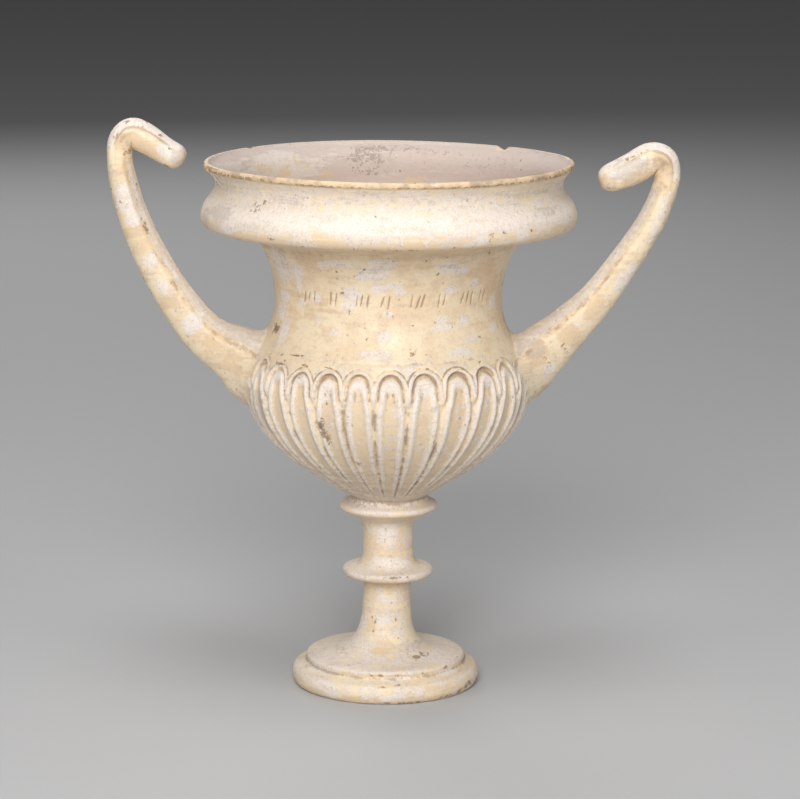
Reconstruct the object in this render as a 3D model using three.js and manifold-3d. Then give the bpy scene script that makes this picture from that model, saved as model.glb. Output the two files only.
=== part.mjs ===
// A footed drinking cup with two tall hooked handles, thrown, joined and fired as one
// piece of clay. The tall stem carries a disc and a collar, the belly is ringed with
// round-headed tongues, and the rim is a broad rounded roll under a flaring lip.
// Millimetres, +Z up. The origin is the middle of the foot, on the floor, and the
// handles lie along X. The side with the front tongue faces -Y.

import * as THREE from 'three';
import { mergeVertices } from 'three/addons/utils/BufferGeometryUtils.js';
import Module from 'manifold-3d';

const wasm = await Module();
wasm.setup();

// Foot
const FOOT_RADIUS = 46.4;
const FOOT_BAND_HEIGHT = 9.2;
const FOOT_BAND_BULGE = 2.8;
const FOOT_FILLET_RISE = 1.8;
const FOOT_STEP_RADIUS = 39.4;
const FOOT_STEP_RISE = 3.8;
const UNDERSIDE_DISC_RADIUS = 30;
const UNDERSIDE_GROOVE_WIDTH = 7;
const UNDERSIDE_GROOVE_DEPTH = 1.6;
const EDGE_ROUND = 0.9;

// Stem, with its disc and its collar
const STEM_RADIUS = 11.9;
const STEM_RISE = 42.4;
const DISC_RADIUS = 22.4;
const DISC_THICKNESS = 3.4;
const UPPER_STEM_RADIUS = 12.4;
const UPPER_STEM_RISE = 32.3;
const DISC_FILLET = 5;
const COLLAR_FILLET = 11;
const COLLAR_RADIUS = 24.3;
const COLLAR_THICKNESS = 3.2;
const COLLAR_RISE = 5.8;
const BOWL_FOOT_RADIUS = 19;

// Bowl, from its narrow foot to the lip
const BELLY_RADIUS = 70;
const BELLY_RISE = 54.7;
const NECK_RADIUS = 55.5;
const NECK_RISE = 42;
const FLARE_RADIUS = 63;
const FLARE_RISE = 30;
const ROLL_RADIUS = 91.6;
const ROLL_RISE = 11.5;
const ROLL_UNDERSIDE_WIDTH = 9;
const ROLL_UNDERSIDE_DROP = 5.4;
const UNDERCUT_WIDTH = 6;
const UNDERCUT_RISE = 3.4;
const WAIST_RADIUS = 84.6;
const WAIST_RISE = 15.9;
const LIP_RADIUS = 89.8;
const LIP_RISE = 11.1;
const LIP_THICKNESS = 2.6;
const LIP_ROUND = 2;
const WALL = 5;
const ROLL_WALL = 9;

// Tongues round the belly
const TONGUE_COUNT = 26;
const TONGUE_TURN = 1.2;
const TONGUE_WIDTH_SHARE = 0.74;
const TONGUE_HEAD_DROP = 27;
const TONGUE_HEAD_HEIGHT = 8;
const TONGUE_FOOT_GAP = 3;
const GROOVE_DEPTH = 1.9;
const CHANNEL_DEPTH = 0.8;
const CARVING_FADE = 14;
const FADED_STRENGTH = 0.45;
const SHOULDER_LINE_GAP = 6.6;
const SHOULDER_LINE_STEP = 0.5;

// Handles
const HANDLE_ROOT_INSET = 12;
const HANDLE_THICKNESS = 17;
const HANDLE_WIDTH = 16.4;
const ROOT_SWELL_RUN = 30;
const ROOT_SPREAD = 22;
const ROOT_SPREAD_RUN = 13.6;
const ROOT_SPREAD_POWER = 1.3;
const ROOT_TOP_HEAVY = 0.6;
const TIP_START = 0.8;
const TIP_LENGTH = 0.203;
const TIP_BLUNTNESS = 2.6;
const LEFT_HANDLE = {
  side: -1,
  rootRise: 4,
  rootSwell: 13,
  spread: 39.1,
  crownRise: 1.5,
  topThickness: 12.2,
  bow: [[0.59, 0.19], [0.92, 0.585]],
  hook: [[-1.8, 8.6], [-7.3, 11.9], [-14.5, 7.2], [-22, 2.4], [-32.4, -2.2]],
  hookSwell: 1.6,
};
const RIGHT_HANDLE = {
  side: 1,
  rootRise: 5.5,
  rootSwell: 11,
  spread: 43.2,
  crownRise: -6.5,
  topThickness: 14,
  bow: [[0.46, 0.17], [1.02, 0.8]],
  hook: [[-1.6, 6], [-7.5, 7.2], [-16, 2.4], [-24.5, -0.8], [-33.6, -0.6]],
  hookSwell: 1.8,
};

// Old damage: a nick in the lip, behind and to the right
const NICK_RADIUS = 3.2;
const NICK_DEPTH = 2.5;
const NICK_TURN = 139;

// Heights above the floor
const bandTop = FOOT_BAND_HEIGHT;
const stepFoot = bandTop + FOOT_FILLET_RISE;
const stepTop = stepFoot + FOOT_STEP_RISE;
const discHeight = stepTop + STEM_RISE;
const collarHeight = discHeight + UPPER_STEM_RISE;
const bowlFoot = collarHeight + COLLAR_RISE;
const bellyHeight = bowlFoot + BELLY_RISE;
const neckHeight = bellyHeight + NECK_RISE;
const flareHeight = neckHeight + FLARE_RISE;
const rollHeight = flareHeight + ROLL_RISE;
const waistHeight = rollHeight + WAIST_RISE;
const lipHeight = waistHeight + LIP_RISE;
const tongueHead = neckHeight - TONGUE_HEAD_DROP;
const shoulderLine = tongueHead + SHOULDER_LINE_GAP;
const tongueFoot = bowlFoot + TONGUE_FOOT_GAP;

const OVERLAP = 3;
const SAME_POINT = 1e-6;
const NEAR_AXIS = 1;
const FOOT_SEGMENTS = 30;
const UPPER_SEGMENTS = 44;
const INNER_SEGMENTS = 30;
const COLUMN_SHARES = [0, 0.19, 0.38, 0.62, 0.81];
const FLANK_STEPS = 5;
const HANDLE_SIDES = 12;

// A point of an outline: distance from the axis, height above the floor
const at = (radius, height) => new THREE.Vector2(radius, height);

// A curve from one point to another. Each grip is a share of the way out and up.
function bend(from, gripOne, gripTwo, to) {
  const span = to.clone().sub(from);
  const grip = ([out, up]) => at(from.x + span.x * out, from.y + span.y * up);
  return new THREE.CubicBezierCurve(from, grip(gripOne), grip(gripTwo), to);
}

// Joins points and curves into one outline. A curve is given with its number of steps.
function outline(...stretches) {
  const points = [];
  for (const stretch of stretches) {
    const run = stretch.isVector2 ? [stretch] : stretch.curve.getPoints(stretch.steps);
    for (const point of run) {
      if (!points.length || points[points.length - 1].distanceTo(point) > SAME_POINT) points.push(point);
    }
  }
  return points;
}

const steps = (count, curve) => ({ curve, steps: count });

// The bowl's outside, as three curves
const bellyCurve = bend(
  at(BOWL_FOOT_RADIUS, bowlFoot), [0.34, 0.19], [1, 0.52], at(BELLY_RADIUS, bellyHeight));
const shoulderCurve = bend(
  at(BELLY_RADIUS, bellyHeight), [0, 0.41], [1, 0.59], at(NECK_RADIUS, neckHeight));
const neckCurve = bend(
  at(NECK_RADIUS, neckHeight), [0, 0.58], [0.74, 0.81], at(FLARE_RADIUS, flareHeight));

// Radius of the bowl's outside at a height, read off its curves
const bowlSamples = outline(steps(200, bellyCurve), steps(200, shoulderCurve));
function bowlRadius(height) {
  const above = bowlSamples.findIndex((point) => point.y >= height);
  if (above <= 0) return BOWL_FOOT_RADIUS;
  const low = bowlSamples[above - 1];
  const high = bowlSamples[above];
  return THREE.MathUtils.mapLinear(height, low.y, high.y, low.x, high.x);
}

// Turns a mesh into a solid: shared corners are merged and empty triangles dropped
function toSolid(geometry) {
  const bare = geometry.clone();
  bare.deleteAttribute('normal');
  bare.deleteAttribute('uv');
  const merged = mergeVertices(bare, 1e-4);
  const index = merged.index.array;
  const triangles = [];
  for (let i = 0; i < index.length; i += 3) {
    const [a, b, c] = index.slice(i, i + 3);
    if (a !== b && b !== c && c !== a) triangles.push(a, b, c);
  }
  return new wasm.Manifold(new wasm.Mesh({
    numProp: 3,
    vertProperties: new Float32Array(merged.attributes.position.array),
    triVerts: new Uint32Array(triangles),
  }));
}

function toGeometry(solid) {
  const mesh = solid.getMesh();
  const geometry = new THREE.BufferGeometry();
  geometry.setAttribute('position', new THREE.BufferAttribute(mesh.vertProperties, 3));
  geometry.setIndex(new THREE.BufferAttribute(mesh.triVerts, 1));
  geometry.computeVertexNormals();
  return geometry;
}

// Spins an outline about the vertical axis, starting from the front
function turned(points, segments) {
  return new THREE.LatheGeometry(points, segments).rotateX(Math.PI / 2);
}

// Foot and stem, from the underside to just inside the bowl
function footAndStem() {
  const grooveInner = UNDERSIDE_DISC_RADIUS + UNDERSIDE_GROOVE_DEPTH;
  const grooveOuter = grooveInner + UNDERSIDE_GROOVE_WIDTH - 2 * UNDERSIDE_GROOVE_DEPTH;
  const bandRadius = FOOT_RADIUS - FOOT_BAND_BULGE;
  const band = new THREE.EllipseCurve(
    bandRadius, bandTop / 2, FOOT_BAND_BULGE, bandTop / 2, -Math.PI / 2, Math.PI / 2);
  const plate = bend(
    at(FOOT_STEP_RADIUS - EDGE_ROUND * 2, stepTop), [0.8, 0.07], [1, 0.22],
    at(STEM_RADIUS, stepTop + STEM_RISE * 0.68));
  const discUnder = discHeight - DISC_THICKNESS * 0.7;
  const discOver = discHeight + DISC_THICKNESS * 0.3;
  const discTop = bend(
    at(DISC_RADIUS - EDGE_ROUND / 2, discOver), [0.68, 0.11], [1, 0.07],
    at(UPPER_STEM_RADIUS, discHeight + UPPER_STEM_RISE * 0.36));
  const collarUnder = collarHeight - COLLAR_THICKNESS / 2;
  const collarOver = collarHeight + COLLAR_THICKNESS / 2;
  const bowlStart = bend(
    at(COLLAR_RADIUS - EDGE_ROUND, collarOver), [0.75, 0.15], [1, 0.5],
    at(BOWL_FOOT_RADIUS - OVERLAP / 12, bowlFoot + OVERLAP / 4));
  return turned(outline(
    at(0, 0),
    at(UNDERSIDE_DISC_RADIUS, 0),
    at(grooveInner, UNDERSIDE_GROOVE_DEPTH),
    at(grooveOuter, UNDERSIDE_GROOVE_DEPTH),
    at(UNDERSIDE_DISC_RADIUS + UNDERSIDE_GROOVE_WIDTH, 0),
    steps(5, band),
    at(FOOT_STEP_RADIUS + EDGE_ROUND, stepFoot - EDGE_ROUND / 3),
    at(FOOT_STEP_RADIUS - EDGE_ROUND / 2, stepFoot + EDGE_ROUND / 3),
    at(FOOT_STEP_RADIUS, stepTop - FOOT_STEP_RISE * 0.45),
    at(FOOT_STEP_RADIUS - EDGE_ROUND, stepTop - EDGE_ROUND / 3),
    steps(6, plate),
    at(STEM_RADIUS, discUnder - DISC_FILLET),
    at(STEM_RADIUS + DISC_FILLET * 0.22, discUnder - DISC_FILLET * 0.52),
    at(DISC_RADIUS - EDGE_ROUND, discUnder),
    at(DISC_RADIUS, discHeight - DISC_THICKNESS * 0.2),
    steps(4, discTop),
    at(UPPER_STEM_RADIUS, collarUnder - COLLAR_FILLET),
    at(UPPER_STEM_RADIUS + COLLAR_FILLET * 0.06, collarUnder - COLLAR_FILLET * 0.58),
    at(UPPER_STEM_RADIUS + COLLAR_FILLET * 0.18, collarUnder - COLLAR_FILLET * 0.44),
    at(COLLAR_RADIUS - EDGE_ROUND, collarUnder),
    at(COLLAR_RADIUS, collarHeight),
    steps(3, bowlStart),
    at(0, bowlFoot + OVERLAP),
  ), FOOT_SEGMENTS);
}

// Depth of the carving, 0 on a tongue's raised edges. Share runs from the groove on a
// tongue's left, 0, to the groove on its right, 1.
function carvedDepth(share, height) {
  if (height > shoulderLine - SHOULDER_LINE_STEP || height < tongueFoot) return 0;
  const offMiddle = Math.abs(share - 0.5) * 2;
  const below = tongueHead - height;
  const rounding = THREE.MathUtils.clamp(1 - below / TONGUE_HEAD_HEIGHT, 0, 1);
  const halfWidth = below < 0 ? 0 : TONGUE_WIDTH_SHARE * Math.sqrt(1 - rounding ** 2);
  const fade = THREE.MathUtils.smoothstep(height, tongueFoot, tongueFoot + CARVING_FADE);
  const strength = THREE.MathUtils.lerp(FADED_STRENGTH, 1, fade);
  if (offMiddle >= halfWidth) return GROOVE_DEPTH * strength;
  const channel = below > TONGUE_HEAD_HEIGHT ? 1 - (offMiddle / halfWidth) ** 2 : 0;
  return CHANNEL_DEPTH * channel * strength;
}

// Turns the diagonals on the left half of each tongue, so that its two halves match
function mirrorTriangles(belly, bands, columns) {
  const index = belly.index.array;
  for (let square = 0; square < index.length / 6; square += 1) {
    const column = Math.floor(square / bands) % columns;
    if (column >= columns / 2) continue;
    const [a, b, d, c] = index.slice(square * 6, square * 6 + 4);
    index.set([a, b, c, a, c, d], square * 6);
  }
}

// The fluted part of the bowl, from its foot to the fine line over the tongues
function flutedBelly() {
  const columns = COLUMN_SHARES.length;
  const flank = bellyCurve.getPoints(FLANK_STEPS).slice(1).map((point) => point.y);
  const heights = [
    bowlFoot,
    tongueFoot,
    ...flank,
    tongueHead - TONGUE_HEAD_HEIGHT,
    tongueHead - TONGUE_HEAD_HEIGHT * 0.5,
    tongueHead - TONGUE_HEAD_HEIGHT * 0.15,
    tongueHead + SHOULDER_LINE_GAP * 0.2,
    shoulderLine,
  ];
  const rows = heights.map((height) => at(bowlRadius(height), height));
  const belly = turned(outline(at(0, bowlFoot), ...rows, at(0, shoulderLine)),
    TONGUE_COUNT * columns);
  mirrorTriangles(belly, rows.length + 1, columns);
  const position = belly.attributes.position;
  const pitch = (2 * Math.PI) / TONGUE_COUNT;
  for (let i = 0; i < position.count; i += 1) {
    const radius = Math.hypot(position.getX(i), position.getY(i));
    if (radius < NEAR_AXIS) continue;
    const height = position.getZ(i);
    const turn = Math.atan2(position.getX(i), -position.getY(i));
    const column = Math.round((turn / pitch) * columns);
    const tongue = Math.floor(column / columns);
    const share = COLUMN_SHARES[column - tongue * columns];
    const angle = (tongue - 0.5 + share) * pitch + THREE.MathUtils.degToRad(TONGUE_TURN);
    const reach = radius - carvedDepth(share, height);
    position.setXY(i, reach * Math.sin(angle), -reach * Math.cos(angle));
  }
  return belly;
}

// Shoulder, neck, roll and lip, from the fine line over the tongues to the top
function neckAndRim() {
  const start = shoulderLine - OVERLAP;
  const shoulder = [0, 0.28, 0.6, 1].map((share) => {
    const height = THREE.MathUtils.lerp(shoulderLine, neckHeight, share);
    return at(bowlRadius(height) - SHOULDER_LINE_STEP * (1 - share), height);
  });
  const rollFoot = at(ROLL_RADIUS - ROLL_UNDERSIDE_WIDTH, rollHeight - ROLL_UNDERSIDE_DROP);
  const roll = bend(rollFoot, [0.5, -0.12], [1, 0.1], at(ROLL_RADIUS, rollHeight));
  const overRoll = bend(
    at(ROLL_RADIUS, rollHeight), [0, 0.49], [1, 0.67], at(WAIST_RADIUS, waistHeight));
  const lip = bend(
    at(WAIST_RADIUS, waistHeight), [0, 0.5], [0.75, 0.8], at(LIP_RADIUS, lipHeight - LIP_ROUND));
  return turned(outline(
    at(0, start),
    at(bowlRadius(shoulderLine) - WALL / 2, start),
    ...shoulder,
    steps(5, neckCurve),
    at(FLARE_RADIUS + UNDERCUT_WIDTH, flareHeight + UNDERCUT_RISE),
    steps(4, roll),
    steps(5, overRoll),
    steps(3, lip),
    at(LIP_RADIUS - LIP_THICKNESS * 0.35, lipHeight),
    at(0, lipHeight),
  ), UPPER_SEGMENTS);
}

// Points a wall's thickness inside a curve of the bowl, from its far end to its near one
function inset(curve, count) {
  const points = [];
  for (let i = count; i >= 0; i -= 1) {
    const point = curve.getPoint(i / count);
    const along = curve.getTangent(i / count);
    points.push(at(point.x - along.y * WALL, point.y + along.x * WALL));
  }
  return points;
}

// The hollow of the bowl, open at the top
function hollow() {
  const innerRoll = at(ROLL_RADIUS - ROLL_WALL, rollHeight);
  const innerWaist = at(WAIST_RADIUS - WALL, waistHeight);
  const innerNeck = inset(neckCurve, 3);
  const lip = bend(
    at(LIP_RADIUS - LIP_THICKNESS, lipHeight), [0.7, 0.2], [1, 0.5], innerWaist);
  const waist = bend(innerWaist, [0, 0.4], [1, 0.6], innerRoll);
  const shelf = bend(innerRoll, [0, 0.4], [0.75, 0.45], innerNeck[0]);
  const flank = [
    ...innerNeck.slice(1),
    ...inset(shoulderCurve, 3).slice(1),
    ...inset(bellyCurve, FLANK_STEPS).slice(1, -1),
  ];
  const floor = bowlFoot + WALL;
  const down = outline(
    at(0, lipHeight + OVERLAP),
    at(LIP_RADIUS - LIP_THICKNESS, lipHeight + OVERLAP),
    steps(2, lip),
    steps(2, waist),
    steps(3, shelf),
    ...flank,
    at(BOWL_FOOT_RADIUS * 0.4, floor),
    at(0, floor),
  );
  return turned(down.reverse(), INNER_SEGMENTS);
}

// One handle: a long bow from the belly to the crown, then a tight hook towards the lip.
// The tube is a cylinder whose rings are set along the path, wide and deep at the root.
function handle(spec) {
  const root = at(BELLY_RADIUS - HANDLE_ROOT_INSET, bellyHeight + spec.rootRise);
  const crown = at(ROLL_RADIUS + spec.spread, lipHeight + spec.crownRise);
  const bow = bend(root, spec.bow[0], spec.bow[1], crown);
  const hook = new THREE.SplineCurve(
    [[0, 0], ...spec.hook].map(([out, up]) => at(crown.x + out, crown.y + up)));
  const bowLength = bow.getLength();
  const rings = [];
  const bowSteps = 13;
  for (let i = 0; i < bowSteps; i += 1) {
    const share = i / bowSteps;
    const run = share * bowLength;
    rings.push({
      centre: bow.getPointAt(share),
      along: bow.getTangentAt(share),
      topHeavy: ROOT_TOP_HEAVY * Math.exp(-run / ROOT_SWELL_RUN),
      half: THREE.MathUtils.lerp(HANDLE_THICKNESS, spec.topThickness, share) / 2
        + spec.rootSwell * Math.exp(-run / ROOT_SWELL_RUN),
      reach: HANDLE_WIDTH / 2
        + ROOT_SPREAD * Math.exp(-((run / ROOT_SPREAD_RUN) ** ROOT_SPREAD_POWER)),
    });
  }
  const hookShares = [0, 0.08, 0.16, 0.24, 0.34, 0.48, 0.64, 0.8, 0.9, 0.97, 1];
  for (const share of hookShares) {
    const tip = Math.max(share - TIP_START, 0) / TIP_LENGTH;
    const blunt = (1 - tip ** TIP_BLUNTNESS) ** (1 / TIP_BLUNTNESS);
    rings.push({
      centre: hook.getPointAt(share),
      along: hook.getTangentAt(share),
      topHeavy: 0,
      half: (spec.topThickness / 2 + spec.hookSwell * Math.sin(Math.PI * share)) * blunt,
      reach: (HANDLE_WIDTH / 2) * blunt,
    });
  }
  const tube = new THREE.CylinderGeometry(1, 1, 1, HANDLE_SIDES, rings.length - 1);
  const position = tube.attributes.position;
  for (let i = 0; i < position.count; i += 1) {
    const ring = rings[Math.round((0.5 + position.getY(i)) * (rings.length - 1))];
    const across = position.getX(i) * ring.half;
    const out = ring.centre.x - ring.along.y * across;
    const up = ring.centre.y + ring.along.x * across;
    const reach = position.getZ(i) * ring.reach * (1 + ring.topHeavy * position.getX(i));
    position.setXYZ(i, spec.side * out, spec.side * reach, up);
  }
  return tube;
}

// A nick in the top of the lip
function nick() {
  const turn = THREE.MathUtils.degToRad(NICK_TURN);
  const radius = LIP_RADIUS - LIP_THICKNESS / 2;
  const height = lipHeight - NICK_DEPTH + NICK_RADIUS;
  return new THREE.IcosahedronGeometry(NICK_RADIUS, 1)
    .translate(radius * Math.sin(turn), -radius * Math.cos(turn), height);
}

const clay = new THREE.MeshStandardMaterial({ color: 0xe6d8bd, roughness: 0.5, metalness: 0 });
const cup = toSolid(flutedBelly())
  .add(toSolid(footAndStem()))
  .add(toSolid(neckAndRim()))
  .add(toSolid(handle(LEFT_HANDLE)))
  .add(toSolid(handle(RIGHT_HANDLE)))
  .subtract(toSolid(hollow()))
  .subtract(toSolid(nick()));

const kantharos = new THREE.Mesh(toGeometry(cup), clay);
kantharos.name = 'kantharos';

const part = new THREE.Group();
part.add(kantharos);

export default part;
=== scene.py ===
"""Looks of an old footed drinking cup with two tall hooked handles.

The cup is one piece of fired clay, so it is one closed mesh: a turned body with its
hollow, carved with round-headed tongues, and two handles joined into the wall. Sizes
are in metres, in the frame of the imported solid: +Z up, the foot on the floor, the
handles along X and the row of strokes on the neck towards -Y.
"""
import logging
import math
from dataclasses import dataclass, field
from enum import Enum
from typing import Iterable, Sequence

import bmesh
import bpy
import numpy as np
from mathutils import Matrix, Vector
from mathutils.kdtree import KDTree
from mathutils.noise import noise


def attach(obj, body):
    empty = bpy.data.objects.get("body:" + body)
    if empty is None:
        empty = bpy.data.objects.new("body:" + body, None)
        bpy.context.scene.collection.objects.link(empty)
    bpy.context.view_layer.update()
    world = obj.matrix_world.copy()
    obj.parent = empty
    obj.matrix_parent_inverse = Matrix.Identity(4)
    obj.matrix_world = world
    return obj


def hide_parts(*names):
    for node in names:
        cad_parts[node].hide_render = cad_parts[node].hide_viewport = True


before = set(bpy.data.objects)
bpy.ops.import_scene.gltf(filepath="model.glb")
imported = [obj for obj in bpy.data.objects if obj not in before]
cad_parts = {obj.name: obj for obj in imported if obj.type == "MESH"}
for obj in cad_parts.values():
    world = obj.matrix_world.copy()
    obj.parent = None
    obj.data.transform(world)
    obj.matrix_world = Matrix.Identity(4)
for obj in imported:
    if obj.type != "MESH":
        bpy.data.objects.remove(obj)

LOG = logging.getLogger("kantharos")
NODE = "kantharos"
BODY = "root"
MM = 0.001

Point = tuple[float, float]
Stop = tuple[float, float, float]
Colour = tuple[float, float, float]


def mix(low: float, high: float, share: float) -> float:
    """Return the value a share of the way from low to high."""
    return low + (high - low) * share


def ramp(value: np.ndarray | float, low: float, high: float) -> np.ndarray:
    """Return a smooth step from 0 at low to 1 at high.

    Args:
        value: The numbers to step.
        low: Where the step starts.
        high: Where the step ends.

    Returns:
        One number from 0 to 1 for each value.
    """
    share = np.clip((np.asarray(value) - low) / (high - low), 0.0, 1.0)
    return share * share * (3.0 - 2.0 * share)


def bump(value: np.ndarray, width: float) -> np.ndarray:
    """Return 1 where the value is zero, falling off smoothly within a width."""
    return np.exp(-((value / width) ** 2))


def bend(start: Point, grip_one: Point, grip_two: Point, end: Point, steps: int) -> list[Point]:
    """Sample a curve whose grips are given as shares of the way out and up.

    Args:
        start: First point, distance from the axis and height.
        grip_one: Shares of the way that place the first grip.
        grip_two: Shares of the way that place the second grip.
        end: Last point.
        steps: Number of stretches between the points.

    Returns:
        The points of the curve, both ends included.
    """
    span = (end[0] - start[0], end[1] - start[1])
    grips = [(start[0] + span[0] * g[0], start[1] + span[1] * g[1]) for g in (grip_one, grip_two)]
    points = []
    for i in range(steps + 1):
        t = i / steps
        weights = ((1 - t) ** 3, 3 * t * (1 - t) ** 2, 3 * t * t * (1 - t), t ** 3)
        corners = (start, *grips, end)
        points.append(tuple(sum(w * c[k] for w, c in zip(weights, corners)) for k in (0, 1)))
    return points


def inset(points: Sequence[Point], wall: float) -> list[Point]:
    """Move the points of an outline inwards by a wall's thickness.

    Args:
        points: Points from low to high on the outside.
        wall: Thickness of the wall.

    Returns:
        The points of the inside, from low to high.
    """
    moved = []
    for i, (out, up) in enumerate(points):
        before = points[max(i - 1, 0)]
        after = points[min(i + 1, len(points) - 1)]
        along = Vector((after[0] - before[0], after[1] - before[1])).normalized()
        moved.append((out - along.y * wall, up + along.x * wall))
    return moved


@dataclass
class CupOutline:
    """Outline of the turned body, in metres, as radii and rises from the floor up."""

    foot_radius: float = 0.0464
    foot_band: float = 0.0092
    foot_bulge: float = 0.0028
    step_radius: float = 0.0394
    step_foot: float = 0.011
    step_top: float = 0.0148
    disc_under: Point = (0.0300, 0.0)
    groove: Point = (0.0070, 0.0016)
    stem_radius: float = 0.0119
    disc_radius: float = 0.0224
    disc_height: float = 0.0572
    upper_stem_radius: float = 0.0124
    collar_radius: float = 0.0243
    collar_height: float = 0.0895
    bowl_foot: Point = (0.0190, 0.0953)
    belly: Point = (0.0700, 0.1500)
    neck: Point = (0.0555, 0.1920)
    flare: Point = (0.0630, 0.2220)
    roll: Point = (0.0916, 0.2335)
    waist: Point = (0.0846, 0.2494)
    lip: Point = (0.0898, 0.2605)
    lip_band: float = 0.0027
    lip_ledge: float = 0.0005
    lip_thickness: float = 0.0026
    wall: float = 0.0050
    roll_wall: float = 0.0090
    shoulder_line: float = 0.1712

    def foot(self) -> list[Point]:
        """Return the foot, from the middle of its underside to the top of its step."""
        reach, depth = self.groove
        inner = self.disc_under[0]
        middle = (self.foot_radius - self.foot_bulge, self.foot_band / 2)
        points = [(0.0, 0.0), (0.010, 0.0), (0.020, 0.0), (inner, 0.0)]
        points += [(inner + depth, depth), (inner + reach / 2, depth)]
        points += [(inner + reach - depth, depth), (inner + reach, 0.0)]
        for i in range(13):
            turn = math.pi * (i / 12 - 0.5)
            points.append((middle[0] + self.foot_bulge * math.cos(turn),
                           middle[1] + self.foot_band / 2 * math.sin(turn)))
        step, low, top = self.step_radius, self.step_foot, self.step_top
        points += [(step + 0.0028, low - 0.0010), (step + 0.0012, low - 0.0004)]
        points += [(step - 0.0002, low + 0.0002), (step - 0.0003, low + 0.0009)]
        points += [(step, top - 0.0020), (step - 0.0001, top - 0.0010), (step - 0.0006, top - 0.0003)]
        return points

    def stem(self) -> list[Point]:
        """Return the stem with its disc and collar, up to the bowl."""
        stem, disc, collar = self.stem_radius, self.disc_radius, self.collar_radius
        middle, ring, upper = self.disc_height, self.collar_height, self.upper_stem_radius
        start = (self.step_radius - 0.0019, self.step_top)
        plate = bend(start, (0.8, 0.07), (1.0, 0.22), (stem, middle - 0.0136), 18)
        fillet = bend((stem, middle - 0.0076), (0.0, 0.55), (0.10, 0.60),
                      (disc - 0.0012, middle - 0.0025), 7)
        edge = [(disc - 0.0003, middle - 0.0017), (disc, middle - 0.0006),
                (disc - 0.0001, middle + 0.0004)]
        over = bend((disc - 0.0006, middle + 0.0011), (0.68, 0.11), (1.0, 0.07),
                    (upper, middle + 0.0116), 10)
        throat = bend((upper, ring - 0.0150), (0.0, 0.6), (0.3, 0.9), (0.0144, ring - 0.0064), 5)
        under = [(0.0165, ring - 0.0053), (0.0195, ring - 0.0035), (collar - 0.0010, ring - 0.0015)]
        rim = [(collar - 0.0002, ring - 0.0008), (collar, ring + 0.0001), (collar - 0.0003, ring + 0.0011)]
        top = bend((collar - 0.0009, ring + 0.0017), (0.75, 0.15), (1.0, 0.5),
                   (self.bowl_foot[0] - 0.0002, self.bowl_foot[1] - 0.0004), 6)
        return plate + fillet + edge + over + throat + under + rim + top

    def belly_side(self, steps: int) -> list[Point]:
        """Return the belly from its foot to its widest ring."""
        return bend(self.bowl_foot, (0.34, 0.19), (1.0, 0.52), self.belly, steps)

    def shoulder(self, steps: int) -> list[Point]:
        """Return the shoulder from the widest ring to the neck."""
        return bend(self.belly, (0.0, 0.41), (1.0, 0.59), self.neck, steps)

    def neck_side(self, steps: int) -> list[Point]:
        """Return the neck from its narrowest ring to the flare."""
        return bend(self.neck, (0.0, 0.58), (0.74, 0.81), self.flare, steps)

    def rim(self) -> list[Point]:
        """Return the underside of the roll, the roll itself, the waist and the lip's band."""
        flare, roll, waist, lip = self.flare, self.roll, self.waist, self.lip
        roll_foot = (roll[0] - 0.0090, roll[1] - 0.0054)
        under = bend(flare, (0.12, 0.45), (0.55, 0.78), roll_foot, 8)
        side = bend(roll_foot, (0.5, -0.02), (1.0, 0.1), roll, 8)
        over = bend(roll, (0.0, 0.49), (1.0, 0.67), waist, 12)
        band_foot = lip[1] - self.lip_band
        ledge = (lip[0] - self.lip_ledge - 0.0006, band_foot - 0.0004)
        outer_lip = bend(waist, (0.0, 0.5), (0.75, 0.8), ledge, 8)
        band = [(lip[0] - 0.0005, band_foot - 0.0002), (lip[0] - 0.0001, band_foot + 0.0002)]
        band += [(lip[0], band_foot + 0.0009), (lip[0] - 0.0001, lip[1] - 0.0010)]
        return under[1:] + side[1:] + over[1:] + outer_lip[1:] + band

    def lip_edge(self) -> list[Point]:
        """Return the rounded top of the lip, from outside to inside."""
        radius, top = self.lip
        middle = radius - self.lip_thickness / 2
        points = []
        for i in range(1, 6):
            turn = math.pi * i / 6
            points.append((middle + self.lip_thickness / 2 * math.cos(turn) * 0.97,
                           top - 0.0009 + 0.0009 * math.sin(turn)))
        return points

    def inside(self) -> list[Point]:
        """Return the hollow, from the lip down to the middle of its floor."""
        lip = (self.lip[0] - self.lip_thickness, self.lip[1] - 0.0012)
        waist = (self.waist[0] - self.wall, self.waist[1])
        roll = (self.roll[0] - self.roll_wall, self.roll[1])
        neck = inset(self.neck_side(7), self.wall)[::-1]
        points = bend(lip, (0.7, 0.2), (1.0, 0.5), waist, 6)
        points += bend(waist, (0.0, 0.4), (1.0, 0.6), roll, 6)[1:]
        points += bend(roll, (0.0, 0.4), (0.75, 0.45), neck[0], 8)[1:]
        points += neck[1:]
        points += inset(self.shoulder(8), self.wall)[::-1][1:]
        points += inset(self.belly_side(11), self.wall)[::-1][1:-1]
        floor = self.bowl_foot[1] + self.wall
        points += [(self.bowl_foot[0] * 0.6, floor + 0.0002), (self.bowl_foot[0] * 0.3, floor)]
        points += [(0.0, floor)]
        return points

    def carved_rows(self) -> list[Point]:
        """Return the outside of the bowl with close rows where the tongues' heads are."""
        shoulder = self.shoulder(80)
        close = [p for p in shoulder if p[1] < self.shoulder_line + 0.0018]
        rest = [p for p in shoulder if p[1] >= self.shoulder_line + 0.0018]
        return self.belly_side(24)[:-1] + close + rest[2::4]

    def outside(self) -> list[Point]:
        """Return the outside, from the foot's underside to the lip's band."""
        return self.foot() + self.stem() + self.carved_rows() + self.neck_side(18)[1:] + self.rim()

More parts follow.
